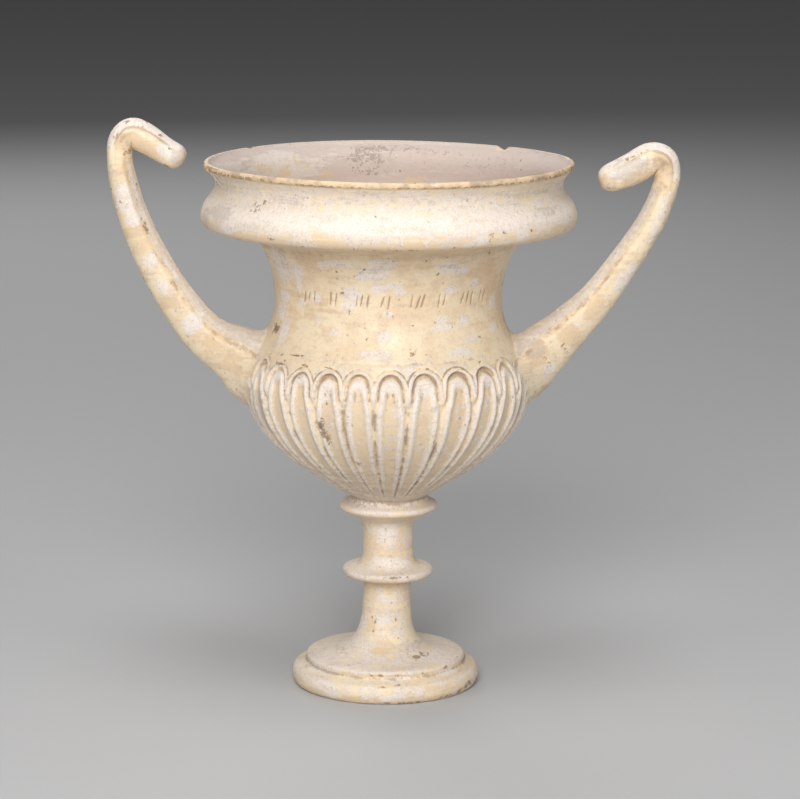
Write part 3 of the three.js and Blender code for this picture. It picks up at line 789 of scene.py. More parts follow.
def zones() -> tuple[Zone, ...]:
    """Return the general state of the skin from the floor up, with painted shade under the roll and a
    painted highlight on its top.
    """
    return (
        Zone(0.0, 0.26, 0.70, 0.12), Zone(4.0, 0.36, 0.55, 0.08), Zone(7.5, 0.46, 0.40, 0.08),
        Zone(11.0, 0.38, 0.45, 0.20), Zone(13.5, 0.34, 0.50, 0.20), Zone(15.5, 0.56, 0.25, 0.16),
        Zone(24.0, 0.48, 0.30, 0.16), Zone(36.0, 0.40, 0.42, 0.18), Zone(50.0, 0.34, 0.60, 0.12),
        Zone(55.0, 0.30, 0.70, 0.10), Zone(58.5, 0.54, 0.30, 0.10), Zone(66.0, 0.38, 0.58, 0.20),
        Zone(82.0, 0.38, 0.58, 0.20), Zone(88.5, 0.30, 0.70, 0.12), Zone(92.0, 0.56, 0.30, 0.16),
        Zone(97.0, 0.42, 0.32, 0.62), Zone(112.0, 0.42, 0.30, 0.50), Zone(128.0, 0.46, 0.30, 0.20),
        Zone(150.0, 0.46, 0.25, 0.10), Zone(165.0, 0.42, 0.25, 0.06), Zone(172.0, 0.28, 0.20, 0.04),
        # From 216 to 229.5 mm, under the roll, the tan and grey are partly painted shade; from 237 to 244
        # mm, on the roll's top, the chalk is partly a painted highlight.
        Zone(178.0, 0.12, 0.16, 0.0), Zone(205.0, 0.06, 0.18, 0.0), Zone(216.0, 0.14, 0.36, 0.14),
        Zone(224.0, 0.18, 0.64, 0.24), Zone(229.5, 0.28, 0.80, 0.08), Zone(233.0, 0.40, 0.66, 0.08),
        Zone(237.0, 0.60, 0.35, 0.08), Zone(244.0, 0.66, 0.25, 0.12), Zone(250.0, 0.54, 0.35, 0.26),
        Zone(256.6, 0.48, 0.45, 0.26), Zone(257.8, 0.12, 1.0, 0.10), Zone(261.0, 0.14, 0.95, 0.10),
    )


@dataclass
class Weathering:
    """Every stain and chip of the cup, those of the photographed side and plainer ones behind."""

    hidden: int = 74
    handle_hidden: int = 34
    fade: float = 1.5
    seed: int = 23
    # Round the back: a chalk band over the roll that is partly a painted highlight, a tan band under the
    # roll that is partly painted shade, and the tan lip band.
    back_bands: tuple[tuple[Stain, float, float], ...] = (
        (Stain.CHALK, 241, 6), (Stain.TAN, 231, 2), (Stain.TAN, 259.4, 1.3))
    handle_zone: Zone = Zone(0.0, 0.22, 0.40, 0.04)
    hollow_zone: Zone = Zone(0.0, 0.26, 0.02, 0.08)

    def __post_init__(self) -> None:
        """Collect the named places and draw the hidden ones."""
        self.body: list[Patch] = [*neck_patches(), *belly_patches(), *rim_patches(),
                                  *lining_patches(), *foot_patches()]
        self.handles: list[HandlePatch] = handle_patches()
        random = np.random.default_rng(self.seed)
        kinds = [Stain.CHALK, Stain.TAN, Stain.GREY, Stain.UMBER]
        for i in range(self.hidden):
            kind = kinds[int(random.choice(4, p=(0.42, 0.26, 0.14, 0.18)))]
            small = 0.28 if kind is Stain.UMBER else 1.0
            wide, tall = random.uniform(3.0, 13.0) * small, random.uniform(1.6, 5.5) * small
            turn, height = random.uniform(84, 276), random.uniform(4, 250)
            lean, strength = random.uniform(-25, 25), random.uniform(0.6, 1.0)
            self.body.append(Patch(kind, turn, height, wide, tall, lean, strength))
        for kind, height, tall in self.back_bands:
            rows = [(turn, height, 36, tall, 0, 0.9) for turn in range(100, 261, 40)]
            self.body += patches(kind, *rows)
        for i in range(self.handle_hidden):
            kind = kinds[int(random.choice(4, p=(0.4, 0.3, 0.15, 0.15)))]
            small = 0.25 if kind is Stain.UMBER else 1.0
            side = -1 if i % 2 else 1
            height = random.uniform(150, 276)
            out = mix(70.0, 130.0, min((height - 150.0) / 100.0, 1.0) ** 0.75)
            wide, tall = random.uniform(3, 7) * small, random.uniform(2, 9) * small
            lean, strength = side * random.uniform(-50, 0), random.uniform(0.6, 1.0)
            self.handles.append(HandlePatch(kind, side * out, height, wide, tall, lean, strength,
                                            behind=True))

    def masks(self, places: np.ndarray, skin: Skin) -> np.ndarray:
        """Work out how much each kind of stain covers each point.

        Args:
            places: Points, one row each, before the hand-made wobble.
            skin: Tells the parts of the cup apart.

        Returns:
            One column for each kind, from 0 to 1.
        """
        hollow, handle = skin.in_hollow(places), skin.on_handle(places)
        found = self.floors(places, hollow, handle)
        wall = (1.0 - hollow) * (1.0 - handle)
        parts = [(patch, hollow if patch.inside else wall) for patch in self.body]
        parts += [(patch, handle) for patch in self.handles]
        for patch, part in parts:
            cover = ramp(self.fade - patch.distance(places, skin), 0.0, 1.1) * patch.strength * part
            column = patch.stain.value
            found[:, column] = np.maximum(found[:, column], cover)
        return found

    def floors(self, places: np.ndarray, hollow: np.ndarray, handle: np.ndarray) -> np.ndarray:
        """Return how much of each stain lies on each point by its zone alone.

        Args:
            places: Points, one row each.
            hollow: 1 for the points of the hollow.
            handle: 1 for the points of the handles.

        Returns:
            One column for each kind, from 0 to 1.
        """
        found = np.zeros((len(places), len(Stain)))
        stops = zones()
        heights = [zone.height * MM for zone in stops]
        for stain, name in ((Stain.CHALK, "chalk"), (Stain.TAN, "tan"), (Stain.GREY, "grey")):
            turned = np.interp(places[:, 2], heights, [getattr(zone, name) for zone in stops])
            value = np.where(handle > 0.5, getattr(self.handle_zone, name), turned)
            found[:, stain.value] = np.where(hollow > 0.5, getattr(self.hollow_zone, name), value)
        return found

    def dents(self, places: np.ndarray, skin: Skin) -> np.ndarray:
        """Return how deep the chipped places are at each point, in metres."""
        deep = np.zeros(len(places))
        part = (1.0 - skin.in_hollow(places)) * (1.0 - skin.on_handle(places))
        for patch in self.body:
            if patch.deep:
                share = ramp(1.1 - patch.distance(places, skin), 0.0, 0.35)
                deep = np.maximum(deep, share * patch.deep * MM * part)
        return deep


@dataclass(frozen=True)
class Ring:
    """One ring of a handle: its middle, its direction, its runs and its sizes."""

    place: Vector
    along: Vector
    run: float
    from_root: float
    tip: float
    half: float
    reach: float
    heavy: float


@dataclass
class Handle:
    """A handle: a long bow from the belly to its crown, then a hook towards the lip.

    The stops give the distance from the axis, the height and half of the thickness at
    places along the handle, in millimetres.
    """

    side: int
    bow: tuple[Stop, ...]
    hook: tuple[Stop, ...]
    width: float = 0.0164
    root_heavy: float = 0.6
    swell_run: float = 0.030
    root_spread: float = 0.022
    spread_run: float = 0.0136
    sides: int = 64
    path_steps: int = 40
    bow_rings: int = 62
    hook_rings: int = 44
    batch: int = 4096
    crease_in: float = 0.0012
    crease_out: float = 0.0014
    strip_in: float = 0.44
    strip_out: float = 0.36
    step_in: float = 0.0026
    step_out: float = 0.0014

    @staticmethod
    def spline(stops: Sequence[Stop], steps: int) -> np.ndarray:
        """Return close points on a smooth curve through the stops, in metres."""
        array = np.array(stops) * MM
        points = []
        for i in range(len(array) - 1):
            before, start = array[max(i - 1, 0)], array[i]
            end, after = array[i + 1], array[min(i + 2, len(array) - 1)]
            for k in range(steps):
                t = k / steps
                points.append(0.5 * (2 * start + (end - before) * t
                                     + (2 * before - 5 * start + 4 * end - after) * t * t
                                     + (3 * start - before - 3 * end + after) * t ** 3))
        points.append(array[-1])
        return np.array(points)

    @staticmethod
    def stations(points: np.ndarray,
                 shares: Iterable[float]) -> list[tuple[Vector, Vector, float, float]]:
        """Return places, directions, half thicknesses and runs at shares of a path's length."""
        steps = np.linalg.norm(np.diff(points[:, :2], axis=0), axis=1)
        run = np.concatenate([[0.0], np.cumsum(steps)])
        found = []
        for share in shares:
            here = share * run[-1]
            ends = np.clip([here - 0.0006, here + 0.0006], 0.0, run[-1])
            place = [np.interp(here, run, points[:, k]) for k in range(3)]
            step = [np.diff(np.interp(ends, run, points[:, k]))[0] for k in (0, 1)]
            found.append((Vector(place[:2]), Vector(step).normalized(), place[2], here))
        return found

    def rings(self) -> list[Ring]:
        """Work out every ring of the handle, from its root to the tip of its hook."""
        path = self.spline([*self.bow, *self.hook], self.path_steps)
        split = self.path_steps * len(self.bow) - self.path_steps // 2
        steps = np.linalg.norm(np.diff(path[:, :2], axis=0), axis=1)
        crown = float(steps[:split].sum())
        whole = float(steps.sum())
        shares = [crown / whole * i / self.bow_rings for i in range(self.bow_rings)]
        rest = 1.0 - crown / whole
        left = [1.0 - i / self.hook_rings for i in range(self.hook_rings + 1)]
        shares += [1.0 - rest * share ** 1.35 for share in left]
        rings = []
        for place, along, half, run in self.stations(path, shares):
            tip = max(run - crown, 0.0) / (whole - crown)
            blunt = (1.0 - (max(tip - 0.83, 0.0) / 0.1707) ** 2.6) ** (1 / 2.6)
            fade = math.exp(-run / self.swell_run)
            spread = self.root_spread * math.exp(-((run / self.spread_run) ** 1.3))
            rings.append(Ring(place, along, run - crown, run, tip, half * blunt,
                              (self.width / 2 + spread) * blunt, self.root_heavy * fade))
        return rings

    def build(self) -> bmesh.types.BMesh:
        """Build the handle as one closed mesh and return it."""
        rings = self.rings()
        mesh = bmesh.new()
        bmesh.ops.create_cone(mesh, cap_ends=True, segments=self.sides, radius1=1.0, radius2=1.0,
                              depth=1.0)
        uprights = [e for e in mesh.edges if abs(e.verts[0].co.z - e.verts[1].co.z) > 0.5]
        bmesh.ops.subdivide_edges(mesh, edges=uprights, cuts=len(rings) - 2)
        for vert in mesh.verts:
            ring = rings[round((vert.co.z + 0.5) * (len(rings) - 1))]
            inner, front = self.section(ring, math.atan2(vert.co.y, vert.co.x))
            out = ring.place.x - ring.along.y * inner
            up = ring.place.y + ring.along.x * inner
            vert.co = Vector((self.side * out, -front, up))
        mesh.normal_update()
        bmesh.ops.recalc_face_normals(mesh, faces=mesh.faces)
        return mesh

    def section(self, ring: Ring, turn: float) -> Point:
        """Return one point of a ring, towards the inside of the bow and towards the front.

        Args:
            ring: The ring's sizes.
            turn: Angle round the ring, 0 at the inside of the bow, a quarter turn in front.

        Returns:
            How far the point lies to the inside and to the front.
        """
        inner, front = math.cos(turn), math.sin(turn)
        power = 2.2 + 0.3 * max(inner, 0.0)
        size = 1.0 / (abs(inner) ** power + abs(front) ** power) ** (1 / power)
        share, run = inner * size, ring.run
        plain = 1.0 if turn > 0.0 else 0.6
        on_bow = (1.0 - float(ramp(run, -0.010, 0.0))) * float(ramp(ring.from_root, 0.004, 0.020))
        on_hook = float(ramp(run, -0.006, 0.004)) * (1.0 - float(ramp(ring.tip, 0.76, 0.95)))
        top = float(self.top_line(run))
        groove = (self.crease_in * math.exp(-(((share - self.strip_in) / 0.085) ** 2)) * on_bow
                  + self.crease_out * math.exp(-(((share + top) / 0.10) ** 2)) * on_hook)
        past_strip = float(ramp(share, self.strip_in - 0.02, self.strip_in + 0.16))
        lowered = (self.step_in * past_strip * on_bow
                   + self.step_out * float(ramp(-share, top, top + 0.2)) * on_hook)
        cut = (groove + lowered) * plain * min(abs(front) * 2.2, 1.0)
        heavy = 1.0 + ring.heavy * share
        hollow = 0.0018 * math.exp(-(((run - 0.003) / 0.0070) ** 2)) * max(front, 0.0) ** 2
        reach = front * size * ring.reach * heavy
        return (share * ring.half, reach - math.copysign(cut, front) - hollow)

    def top_line(self, run: np.ndarray | float) -> np.ndarray:
        """Return where the crease on the hook's top runs, as a share of its thickness."""
        return mix(self.strip_out, 0.60, ramp(run, 0.002, 0.022))

    def lengthwise(self, places: np.ndarray) -> tuple[np.ndarray, np.ndarray, np.ndarray]:
        """Tell where points of this handle lie.

        Args:
            places: Points, one row each.

        Returns:
            Shares from -1 at the outside of the bow to 1 at its inside, runs from the crown in
            metres, and 1 for the points on this handle's side of the cup.
        """
        rings = self.rings()
        middles = np.array([ring.place[:] for ring in rings])
        alongs = np.array([ring.along[:] for ring in rings])
        halves = np.maximum([ring.half for ring in rings], 0.002)
        runs = np.array([ring.run for ring in rings])
        flat = np.stack([places[:, 0] * self.side, places[:, 2]], axis=1)
        nearest = np.empty(len(flat), dtype=int)
        for start in range(0, len(flat), self.batch):
            part = flat[start:start + self.batch, None, :] - middles[None, :, :]
            nearest[start:start + self.batch] = np.argmin((part ** 2).sum(axis=2), axis=1)
        off = flat - middles[nearest]
        inward = np.stack([-alongs[nearest, 1], alongs[nearest, 0]], axis=1)
        share = (off * inward).sum(axis=1) / halves[nearest]
        return share, runs[nearest], (flat[:, 0] > 0.0).astype(float)


def left_handle() -> Handle:
    """Return the taller handle, on the left."""
    return Handle(
        side=-1,
        bow=((57.5, 152.3, 17.6), (66.0, 158.4, 17.2), (73.0, 163.9, 15.0), (84.0, 170.3, 11.8),
             (93.3, 178.4, 10.5), (105.9, 195.7, 9.1), (116.1, 214.1, 8.3), (124.0, 232.7, 7.6),
             (128.9, 250.7, 6.8), (130.3, 260.5, 6.2)),
        hook=((129.4, 269.0, 6.4), (124.4, 273.0, 7.2), (117.9, 270.5, 7.2), (108.5, 264.5, 6.4),
              (98.9, 259.4, 5.9)))


def right_handle() -> Handle:
    """Return the lower handle, on the right."""
    return Handle(
        side=1,
        bow=((59.0, 154.2, 16.6), (66.2, 159.0, 15.8), (72.2, 164.2, 14.1), (78.5, 170.0, 12.8),
             (87.8, 178.8, 10.7), (101.2, 192.4, 8.8), (114.7, 211.0, 7.7), (126.8, 230.2, 6.9),
             (133.7, 247.2, 6.2)),
        hook=((134.7, 255.0, 6.4), (132.4, 260.8, 7.2), (126.4, 261.9, 7.6), (118.4, 257.1, 7.8),
              (108.4, 252.8, 6.9), (101.6, 251.0, 6.1)))


@dataclass(frozen=True)
class Hand:
    """Small faults of hand work that move the whole surface a little."""

    foot_shift: float = -0.0006
    disc_shift: float = 0.0005
    rim_wobble: float = 0.00035
    skin_wobble: float = 0.00016
    lip_drop: float = 0.00045

    def move(self, places: np.ndarray, hollow: np.ndarray) -> np.ndarray:
        """Return the points moved by the faults.

        Args:
            places: Points, one row each.
            hollow: 1 for each point of the hollow.

        Returns:
            The moved points.
        """
        moved = places.copy()
        height = places[:, 2]
        turn = np.arctan2(places[:, 0], -places[:, 1])
        away = np.maximum(np.hypot(places[:, 0], places[:, 1]), 1e-6)
        moved[:, 0] += self.foot_shift * (1.0 - ramp(height, 0.012, 0.045))
        on_stem = ramp(height, 0.040, 0.056) * (1.0 - ramp(height, 0.092, 0.125))
        moved[:, 0] += self.disc_shift * on_stem
        near_rim = ramp(height, 0.215, 0.240) * (away < 0.0935)
        oval = 0.5 + 0.5 * np.sin(2.0 * turn + 0.8) * np.cos(turn * 3.0 + 1.0)
        factor = 1.0 - self.rim_wobble * oval * near_rim / away
        moved[:, :2] *= factor[:, None]
        drop = 0.5 + 0.5 * np.sin(3.0 * turn + 0.4)
        moved[:, 2] -= self.lip_drop * drop * ramp(height, 0.248, 0.260) * (away < 0.0935)
        outside = (hollow < 0.5) & (height > 0.001)
        for i in np.flatnonzero(outside):
            spot = Vector(places[i])
            coarse = noise(spot * 48.0) * 0.6 + noise(spot * 130.0) * 0.4 - 0.35
            moved[i, :2] += places[i, :2] / away[i] * self.skin_wobble * coarse
        return moved


@dataclass(frozen=True)
class Fold:
    """A torn fold that runs down the lip's left side: two raised strips and a gap between."""

    turn: float = -77.6
    slant: float = 7.2
    top: float = 0.2602
    drop: float = 0.0100
    radius: float = 0.086
    strip_place: float = 0.0013
    strip_wide: float = 0.0008
    strip_high: float = 0.00105
    gap_wide: float = 0.00060
    gap_deep: float = 0.0012

    def relief(self, places: np.ndarray) -> tuple[np.ndarray, np.ndarray]:
        """Work out the fold's push and its dark gap.

        Args:
            places: The points, one row each.

        Returns:
            The push outwards in metres and the share of the gap at each point.
        """
        turn = np.degrees(np.arctan2(places[:, 0], -places[:, 1]))
        down = np.clip((self.top - places[:, 2]) / self.drop, -0.2, 1.3)
        across = np.radians(turn - self.turn - self.slant * down) * self.radius
        reach = ramp(down, -0.15, 0.05) * (1.0 - ramp(down, 0.85, 1.15))
        strips = (bump(across - self.strip_place, self.strip_wide)
                  + bump(across + self.strip_place, self.strip_wide + 0.0001))
        gap = bump(across, self.gap_wide)
        near = (np.abs(across) < 0.006) & (places[:, 2] > 0.2460)
        return (np.where(near, (self.strip_high * strips - self.gap_deep * gap) * reach, 0.0),
                np.where(near, gap * reach, 0.0))


@dataclass(frozen=True)
class Bite:
    """A place where the lip has chipped away."""

    turn: float
    wide: float
    deep: float


@dataclass
class Cup:
    """The whole cup as one closed mesh."""

    outline: CupOutline = field(default_factory=CupOutline)
    tongues: Tongues = field(default_factory=Tongues)
    strokes: Strokes = field(default_factory=Strokes)
    weathering: Weathering = field(default_factory=Weathering)
    hand: Hand = field(default_factory=Hand)
    fold: Fold = field(default_factory=Fold)
    bites: tuple[Bite, ...] = (Bite(138.8, 0.0058, 0.0027), Bite(-128.0, 0.0052, 0.0009),
                               Bite(97.0, 0.0040, 0.0010), Bite(-60.0, 0.003, 0.0005))
    columns: int = 104
    # heights between which the columns are doubled, and how many times as many are there
    finer_bands: tuple[tuple[float, float, int], ...] = (
        (0.0955, 0.2640, 1), (0.0002, 0.0160, 1), (0.0975, 0.1726, 2), (0.1540, 0.1722, 4))
    row_turns: Point = (-64.0, 64.0)
    fold_heights: Point = (0.2480, 0.2604)
    fold_turns: Point = (-86.0, -64.0)
    window_cuts: int = 3
    # how far from the seam the joints are smoothed, and how many times
    finger_strokes: tuple[tuple[float, int], ...] = (
        (0.0085, 3), (0.0060, 5), (0.0040, 6), (0.0022, 6))
    carved_from: float = 0.0962
    carved_to: float = 0.1735
    # share of the painted shade in hollows that is kept where the handles join the wall
    root_hollow_shade: float = 0.4
    lip_dirt: float = 0.42
    name: str = "kantharos_vessel"

    def __post_init__(self) -> None:
        """Lay out the skin that the outline describes."""
        self.skin = Skin(self.outline)

    def turned_body(self) -> bmesh.types.BMesh:
        """Spin the outline and close it into one body."""
        mesh = bmesh.new()
        points = self.outline.whole()
        verts = [mesh.verts.new((0.0, -out, up)) for out, up in points]
        edges = [mesh.edges.new(pair) for pair in zip(verts, verts[1:])]
        bmesh.ops.spin(mesh, geom=verts + edges, cent=(0, 0, 0), axis=(0, 0, 1),
                       angle=2.0 * math.pi, steps=self.columns, use_merge=True)
        bmesh.ops.remove_doubles(mesh, verts=mesh.verts, dist=1e-6)
        bmesh.ops.recalc_face_normals(mesh, faces=mesh.faces)
        return mesh

    def is_outside(self, place: Vector) -> bool:
        """Return whether a point of the turned body lies on its outside."""
        return self.skin.in_hollow(np.array([place[:]]))[0] < 0.5

    def double_columns(self, mesh: bmesh.types.BMesh, low: float, high: float,
                       columns: int) -> None:
        """Halve the outside's edges round the axis between two heights.

        Args:
            mesh: The turned body.
            low: Height where the finer columns start.
            high: Height where they end.
            columns: Columns of the mesh there so far.
        """
        level = []
        for edge in mesh.edges:
            one, two = (v.co for v in edge.verts)
            flat = abs(one.z - two.z) < 1e-6 and abs(one.xy.length - two.xy.length) < 1e-6
            if flat and low < one.z < high and self.is_outside(one):
                level.append(edge)
        made = bmesh.ops.subdivide_edges(mesh, edges=level, cuts=1, use_grid_fill=True)
        for item in made["geom_inner"]:
            if isinstance(item, bmesh.types.BMVert):
                item.co.xy /= math.cos(math.pi / columns)

    def refine_window(self, mesh: bmesh.types.BMesh, low: float, high: float, first: float,
                      last: float) -> None:
        """Split the faces of a stretch of the wall both ways, and lay them on the round.

        Args:
            mesh: The turned body.
            low: Height where the stretch starts.
            high: Height where it ends.
            first: Angle from the front where it starts, in degrees.
            last: Angle where it ends.
        """
        faces = []
        for face in mesh.faces:
            middle = face.calc_center_median()
            turn = math.degrees(math.atan2(middle.x, -middle.y))
            if low < middle.z < high and first < turn < last and self.is_outside(middle):
                faces.append(face)
        edges = list({edge for face in faces for edge in face.edges})
        made = bmesh.ops.subdivide_edges(mesh, edges=edges, cuts=self.window_cuts,
                                         use_grid_fill=True)
        for item in made["geom_inner"]:
            if isinstance(item, bmesh.types.BMVert):
                item.co.xy *= float(self.skin.radius(item.co.z)) / item.co.xy.length

    def refine(self, mesh: bmesh.types.BMesh) -> None:
        """Give the parts with fine work the columns they need."""
        for low, high, times in self.finer_bands:
            self.double_columns(mesh, low, high, times * self.columns)
        row, half_row = self.strokes.height, self.strokes.half_row
        self.refine_window(mesh, row - half_row, row + half_row, *self.row_turns)
        self.refine_window(mesh, *self.fold_heights, *self.fold_turns)

    def carve(self, places: np.ndarray) -> np.ndarray:
        """Move the points of the bowl's outside by the carving and the chips.

        Args:
            places: The points, one row each.

        Returns:
            The moved points.
        """
        radius = np.hypot(places[:, 0], places[:, 1])
        turn = np.arctan2(places[:, 0], -places[:, 1])
        height = places[:, 2]
        outside = self.skin.in_hollow(places) < 0.5
        carved = self.tongues.relief(turn, height, np.maximum(radius, 0.005))
        cut = self.strokes.relief(turn, height, float(self.skin.radius(self.strokes.height)))
        on_belly = (height > self.carved_from) & (height < self.carved_to)
        on_row = np.abs(height - self.strokes.height) < self.strokes.tall
        push = np.where(on_belly, carved.push, 0.0)
        push -= np.where(on_row, self.strokes.depth * cut, 0.0)
        push -= self.weathering.dents(places, self.skin)
        push += self.fold.relief(places)[0]
        push = np.where(outside, push, 0.0)
        moved = places.copy()
        factor = (radius + push) / np.maximum(radius, 1e-6)
        moved[:, :2] *= np.where(outside & (radius > 0.005), factor, 1.0)[:, None]
        return self.notch(moved)

    def notch(self, places: np.ndarray) -> np.ndarray:
        """Return the points with the lip's bites pressed down out of its edge."""
        moved = places.copy()
        turn = np.degrees(np.arctan2(places[:, 0], -places[:, 1]))
        away = np.hypot(places[:, 0], places[:, 1])
        top = self.outline.lip[1]
        for bite in self.bites:
            off = np.radians(turn - bite.turn) * self.outline.lip[0] / (bite.wide / 2.0)
            ragged = 0.16 * np.sin(off * 5.0) + 0.10 * np.sin(off * 11.0 + 1.0)
            shape = ramp(1.15 - np.abs(off + 0.18 * ragged), 0.0, 0.75) * (1.0 + 0.25 * ragged)
            limit = top - bite.deep * shape
            over = (moved[:, 2] > limit) & (shape > 0.01) & (away > 0.080)
            moved[:, 2] = np.where(over, limit + (moved[:, 2] - limit) * 0.12, moved[:, 2])
        return moved

    def soften_joints(self, cup: bpy.types.Object) -> None:
        """Close what the union left open, and blend the handles' roots into the wall.

        Args:
            cup: The joined cup, whose handles' faces have the second material.
        """
        mesh = bmesh.new()
        mesh.from_mesh(cup.data)
        bmesh.ops.holes_fill(mesh, edges=[e for e in mesh.edges if e.is_boundary], sides=4)
        seam = [v for v in mesh.verts if len({f.material_index for f in v.link_faces}) == 2]
        tree = KDTree(len(seam))
        for i, vert in enumerate(seam):
            tree.insert(vert.co, i)
        tree.balance()
        roots = RootZone()
        near = []
        for vert in mesh.verts:
            if roots.holds(*vert.co):
                distance = tree.find(vert.co)[2]
                low = 1.0 - float(ramp(vert.co.z, 0.152, 0.164)) * 0.8
                if self.is_outside(vert.co) or distance < 0.002:
                    near.append((vert, distance * (1.0 + 1.6 * low)))
        for reach, times in self.finger_strokes:
            chosen = [v for v, distance in near if distance < reach]
            for _ in range(times):
                bmesh.ops.smooth_vert(mesh, verts=chosen, factor=0.5, use_axis_x=True,
                                      use_axis_y=True, use_axis_z=True)
        for face in mesh.faces:
            face.material_index = 0
            face.smooth = True
        mesh.to_mesh(cup.data)
        mesh.free()

    def build(self) -> bpy.types.Object:
        """Build the body and the handles and join them into one closed mesh."""
        body = self.turned_body()
        self.refine(body)
        places = np.array([v.co[:] for v in body.verts])
        for vert, place in zip(body.verts, self.carve(places)):
            vert.co = place
        cup = make_object(self.name, body)
        plain = [bpy.data.materials.new("wall"), bpy.data.materials.new("grip")]
        for material in plain:
            cup.data.materials.append(material)
        for handle in (left_handle(), right_handle()):
            piece = make_object(f"handle_{handle.side}", handle.build())
            for material in plain:
                piece.data.materials.append(material)
            for polygon in piece.data.polygons:
                polygon.material_index = 1
            join(cup, piece)
        self.soften_joints(cup)
        self.mark(cup)
        cup.data.materials.clear()
        for material in plain:
            bpy.data.materials.remove(material)
        return cup

    def mark(self, cup: bpy.types.Object) -> None:
        """Write the marks that the clay's colours follow, then add the hand's faults."""
        data = cup.data
        places = np.empty(len(data.vertices) * 3)
        data.vertices.foreach_get("co", places)
        places = places.reshape(-1, 3)
        hollow, handle = self.skin.in_hollow(places), self.skin.on_handle(places)
        turn = np.arctan2(places[:, 0], -places[:, 1])
        away = np.hypot(places[:, 0], places[:, 1])
        height = places[:, 2]
        plain = np.where(handle > 0.5, 0.07, self.skin.radius(height))
        carved = self.tongues.relief(turn, height, plain)
        cut = self.strokes.relief(turn, height, float(self.skin.radius(self.strokes.height)))
        body = (1.0 - hollow) * (1.0 - handle)
        on_belly = body * ((height > self.carved_from) & (height < self.carved_to))
        on_row = body * (np.abs(height - self.strokes.height) < self.strokes.tall)
        lifted, gap = self.fold.relief(places)
        gap, lifted = gap * body, np.clip(lifted * 1200.0, 0.0, 1.0) * body
        work = np.stack([carved.dug * on_belly, carved.hollowed * on_belly,
                         carved.ridge * on_belly, hollow], axis=1)
        stains = self.weathering.masks(places, self.skin)
        stains[:, Stain.UMBER.value] = np.maximum(stains[:, Stain.UMBER.value], gap)
        stains[:, Stain.TAN.value] = np.maximum(stains[:, Stain.TAN.value], lifted)
        stains[:, Stain.CHALK.value] *= 1.0 - 0.8 * lifted
        band = ramp(height, 0.2572, 0.2579) * body * (away < 0.0925)
        work[:, 0] = np.maximum(work[:, 0], self.lip_dirt * band)
        for grip in (left_handle(), right_handle()):
            self.mark_handle(grip, places, handle, work, stains)
        # round_in darkens concave places with the soil colour in the material: painted shade in hollows,
        # kept at only a share near the handles' roots.
        round_in, round_out = self.roundness(data, places)
        at_root = RootZone(low=0.130).holds(*places.T)
        at_root &= away < self.skin.radius(height) + 0.005
        round_in[at_root] *= self.root_hollow_shade
        form = np.stack([round_in, round_out, cut * on_row, np.ones_like(cut)], axis=1)
        self.write(data, "work", work)
        self.write(data, "stains", stains)
        self.write(data, "form", form)
        data.vertices.foreach_set("co", self.hand.move(places, hollow).ravel())
        data.update()

    @staticmethod
    def mark_handle(grip: Handle, places: np.ndarray, handle: np.ndarray, work: np.ndarray,
                    stains: np.ndarray) -> None:
        """Mark a handle's inner strip with painted shade and chalk, its creases and the hollow under its
        bend with painted shade, and its hook's top with a painted highlight.

        Args:
            grip: The handle.
            places: Points of the whole cup, one row each.
            handle: 1 for the points of both handles.
            work: Marks of the carving, changed in place.
            stains: Marks of the stains, changed in place.
        """
        share, run, mine = grip.lengthwise(places)
        part = handle * mine
        on_bow = 1.0 - ramp(run, -0.008, 0.0)
        on_hook = ramp(run, -0.004, 0.004)
        strip = ramp(share, grip.strip_in, grip.strip_in + 0.12) * on_bow * part
        crease = bump(share - grip.strip_in, 0.055) * on_bow * part
        line = grip.top_line(run)
        top = ramp(-share - line, -0.04, 0.10) * on_hook * part
        top_crease_shade = bump(share + line, 0.08) * on_hook * part * (1.0 - ramp(run, 0.024, 0.034))
        in_front = ramp(-places[:, 1], 0.001, 0.004)
        bend_shade = bump(run - 0.006, 0.012) * ramp(share, -0.34, -0.1) * part * in_front
        dug, chalk, tan, grey = work[:, 0], stains[:, 0], stains[:, 1], stains[:, 3]
        # Painted shade: the creases and the hollow at the bend get the dark groove mark.
        dug[:] = np.maximum(dug, np.maximum(0.80 * crease, 0.80 * top_crease_shade))
        dug[:] = np.maximum(dug, 0.55 * bend_shade)
        # Painted shade: grey on the inner strip. The chalk on the strip is wear; the chalk on the hook's
        # top is a painted highlight.
        grey[:] = np.maximum(grey, 0.66 * strip)
        chalk[:] = np.maximum(chalk * (1.0 - bend_shade), np.maximum(0.55 * strip, 0.70 * top))
        # Painted shade: tan in the hollow at the bend.
        tan[:] = np.maximum(tan, bend_shade) * (1.0 - 0.5 * strip)

    @staticmethod
    def roundness(data: bpy.types.Mesh, places: np.ndarray) -> tuple[np.ndarray, np.ndarray]:
        """Return how sharply each point of the mesh is hollowed in or bulges out, from 0 to 1."""
        normals = np.empty(len(data.vertices) * 3)
        data.vertices.foreach_get("normal", normals)
        normals = normals.reshape(-1, 3)
        edges = np.empty(len(data.edges) * 2, dtype=int)
        data.edges.foreach_get("vertices", edges)
        one, two = edges.reshape(-1, 2).T
        step = places[two] - places[one]
        turned = np.einsum("ij,ij->i", normals[two] - normals[one], step)
        bulge = turned / np.maximum(np.einsum("ij,ij->i", step, step), 1e-8)
        count = np.bincount(one, minlength=len(places)) + np.bincount(two, minlength=len(places))
        for _ in range(2):
            total = np.bincount(one, bulge, len(places)) + np.bincount(two, bulge, len(places))
            mean = total / np.maximum(count, 1)
            bulge = (mean[one] + mean[two]) / 2.0
        return np.clip(-mean / 450.0, 0.0, 1.0), np.clip(mean / 600.0, 0.0, 1.0)

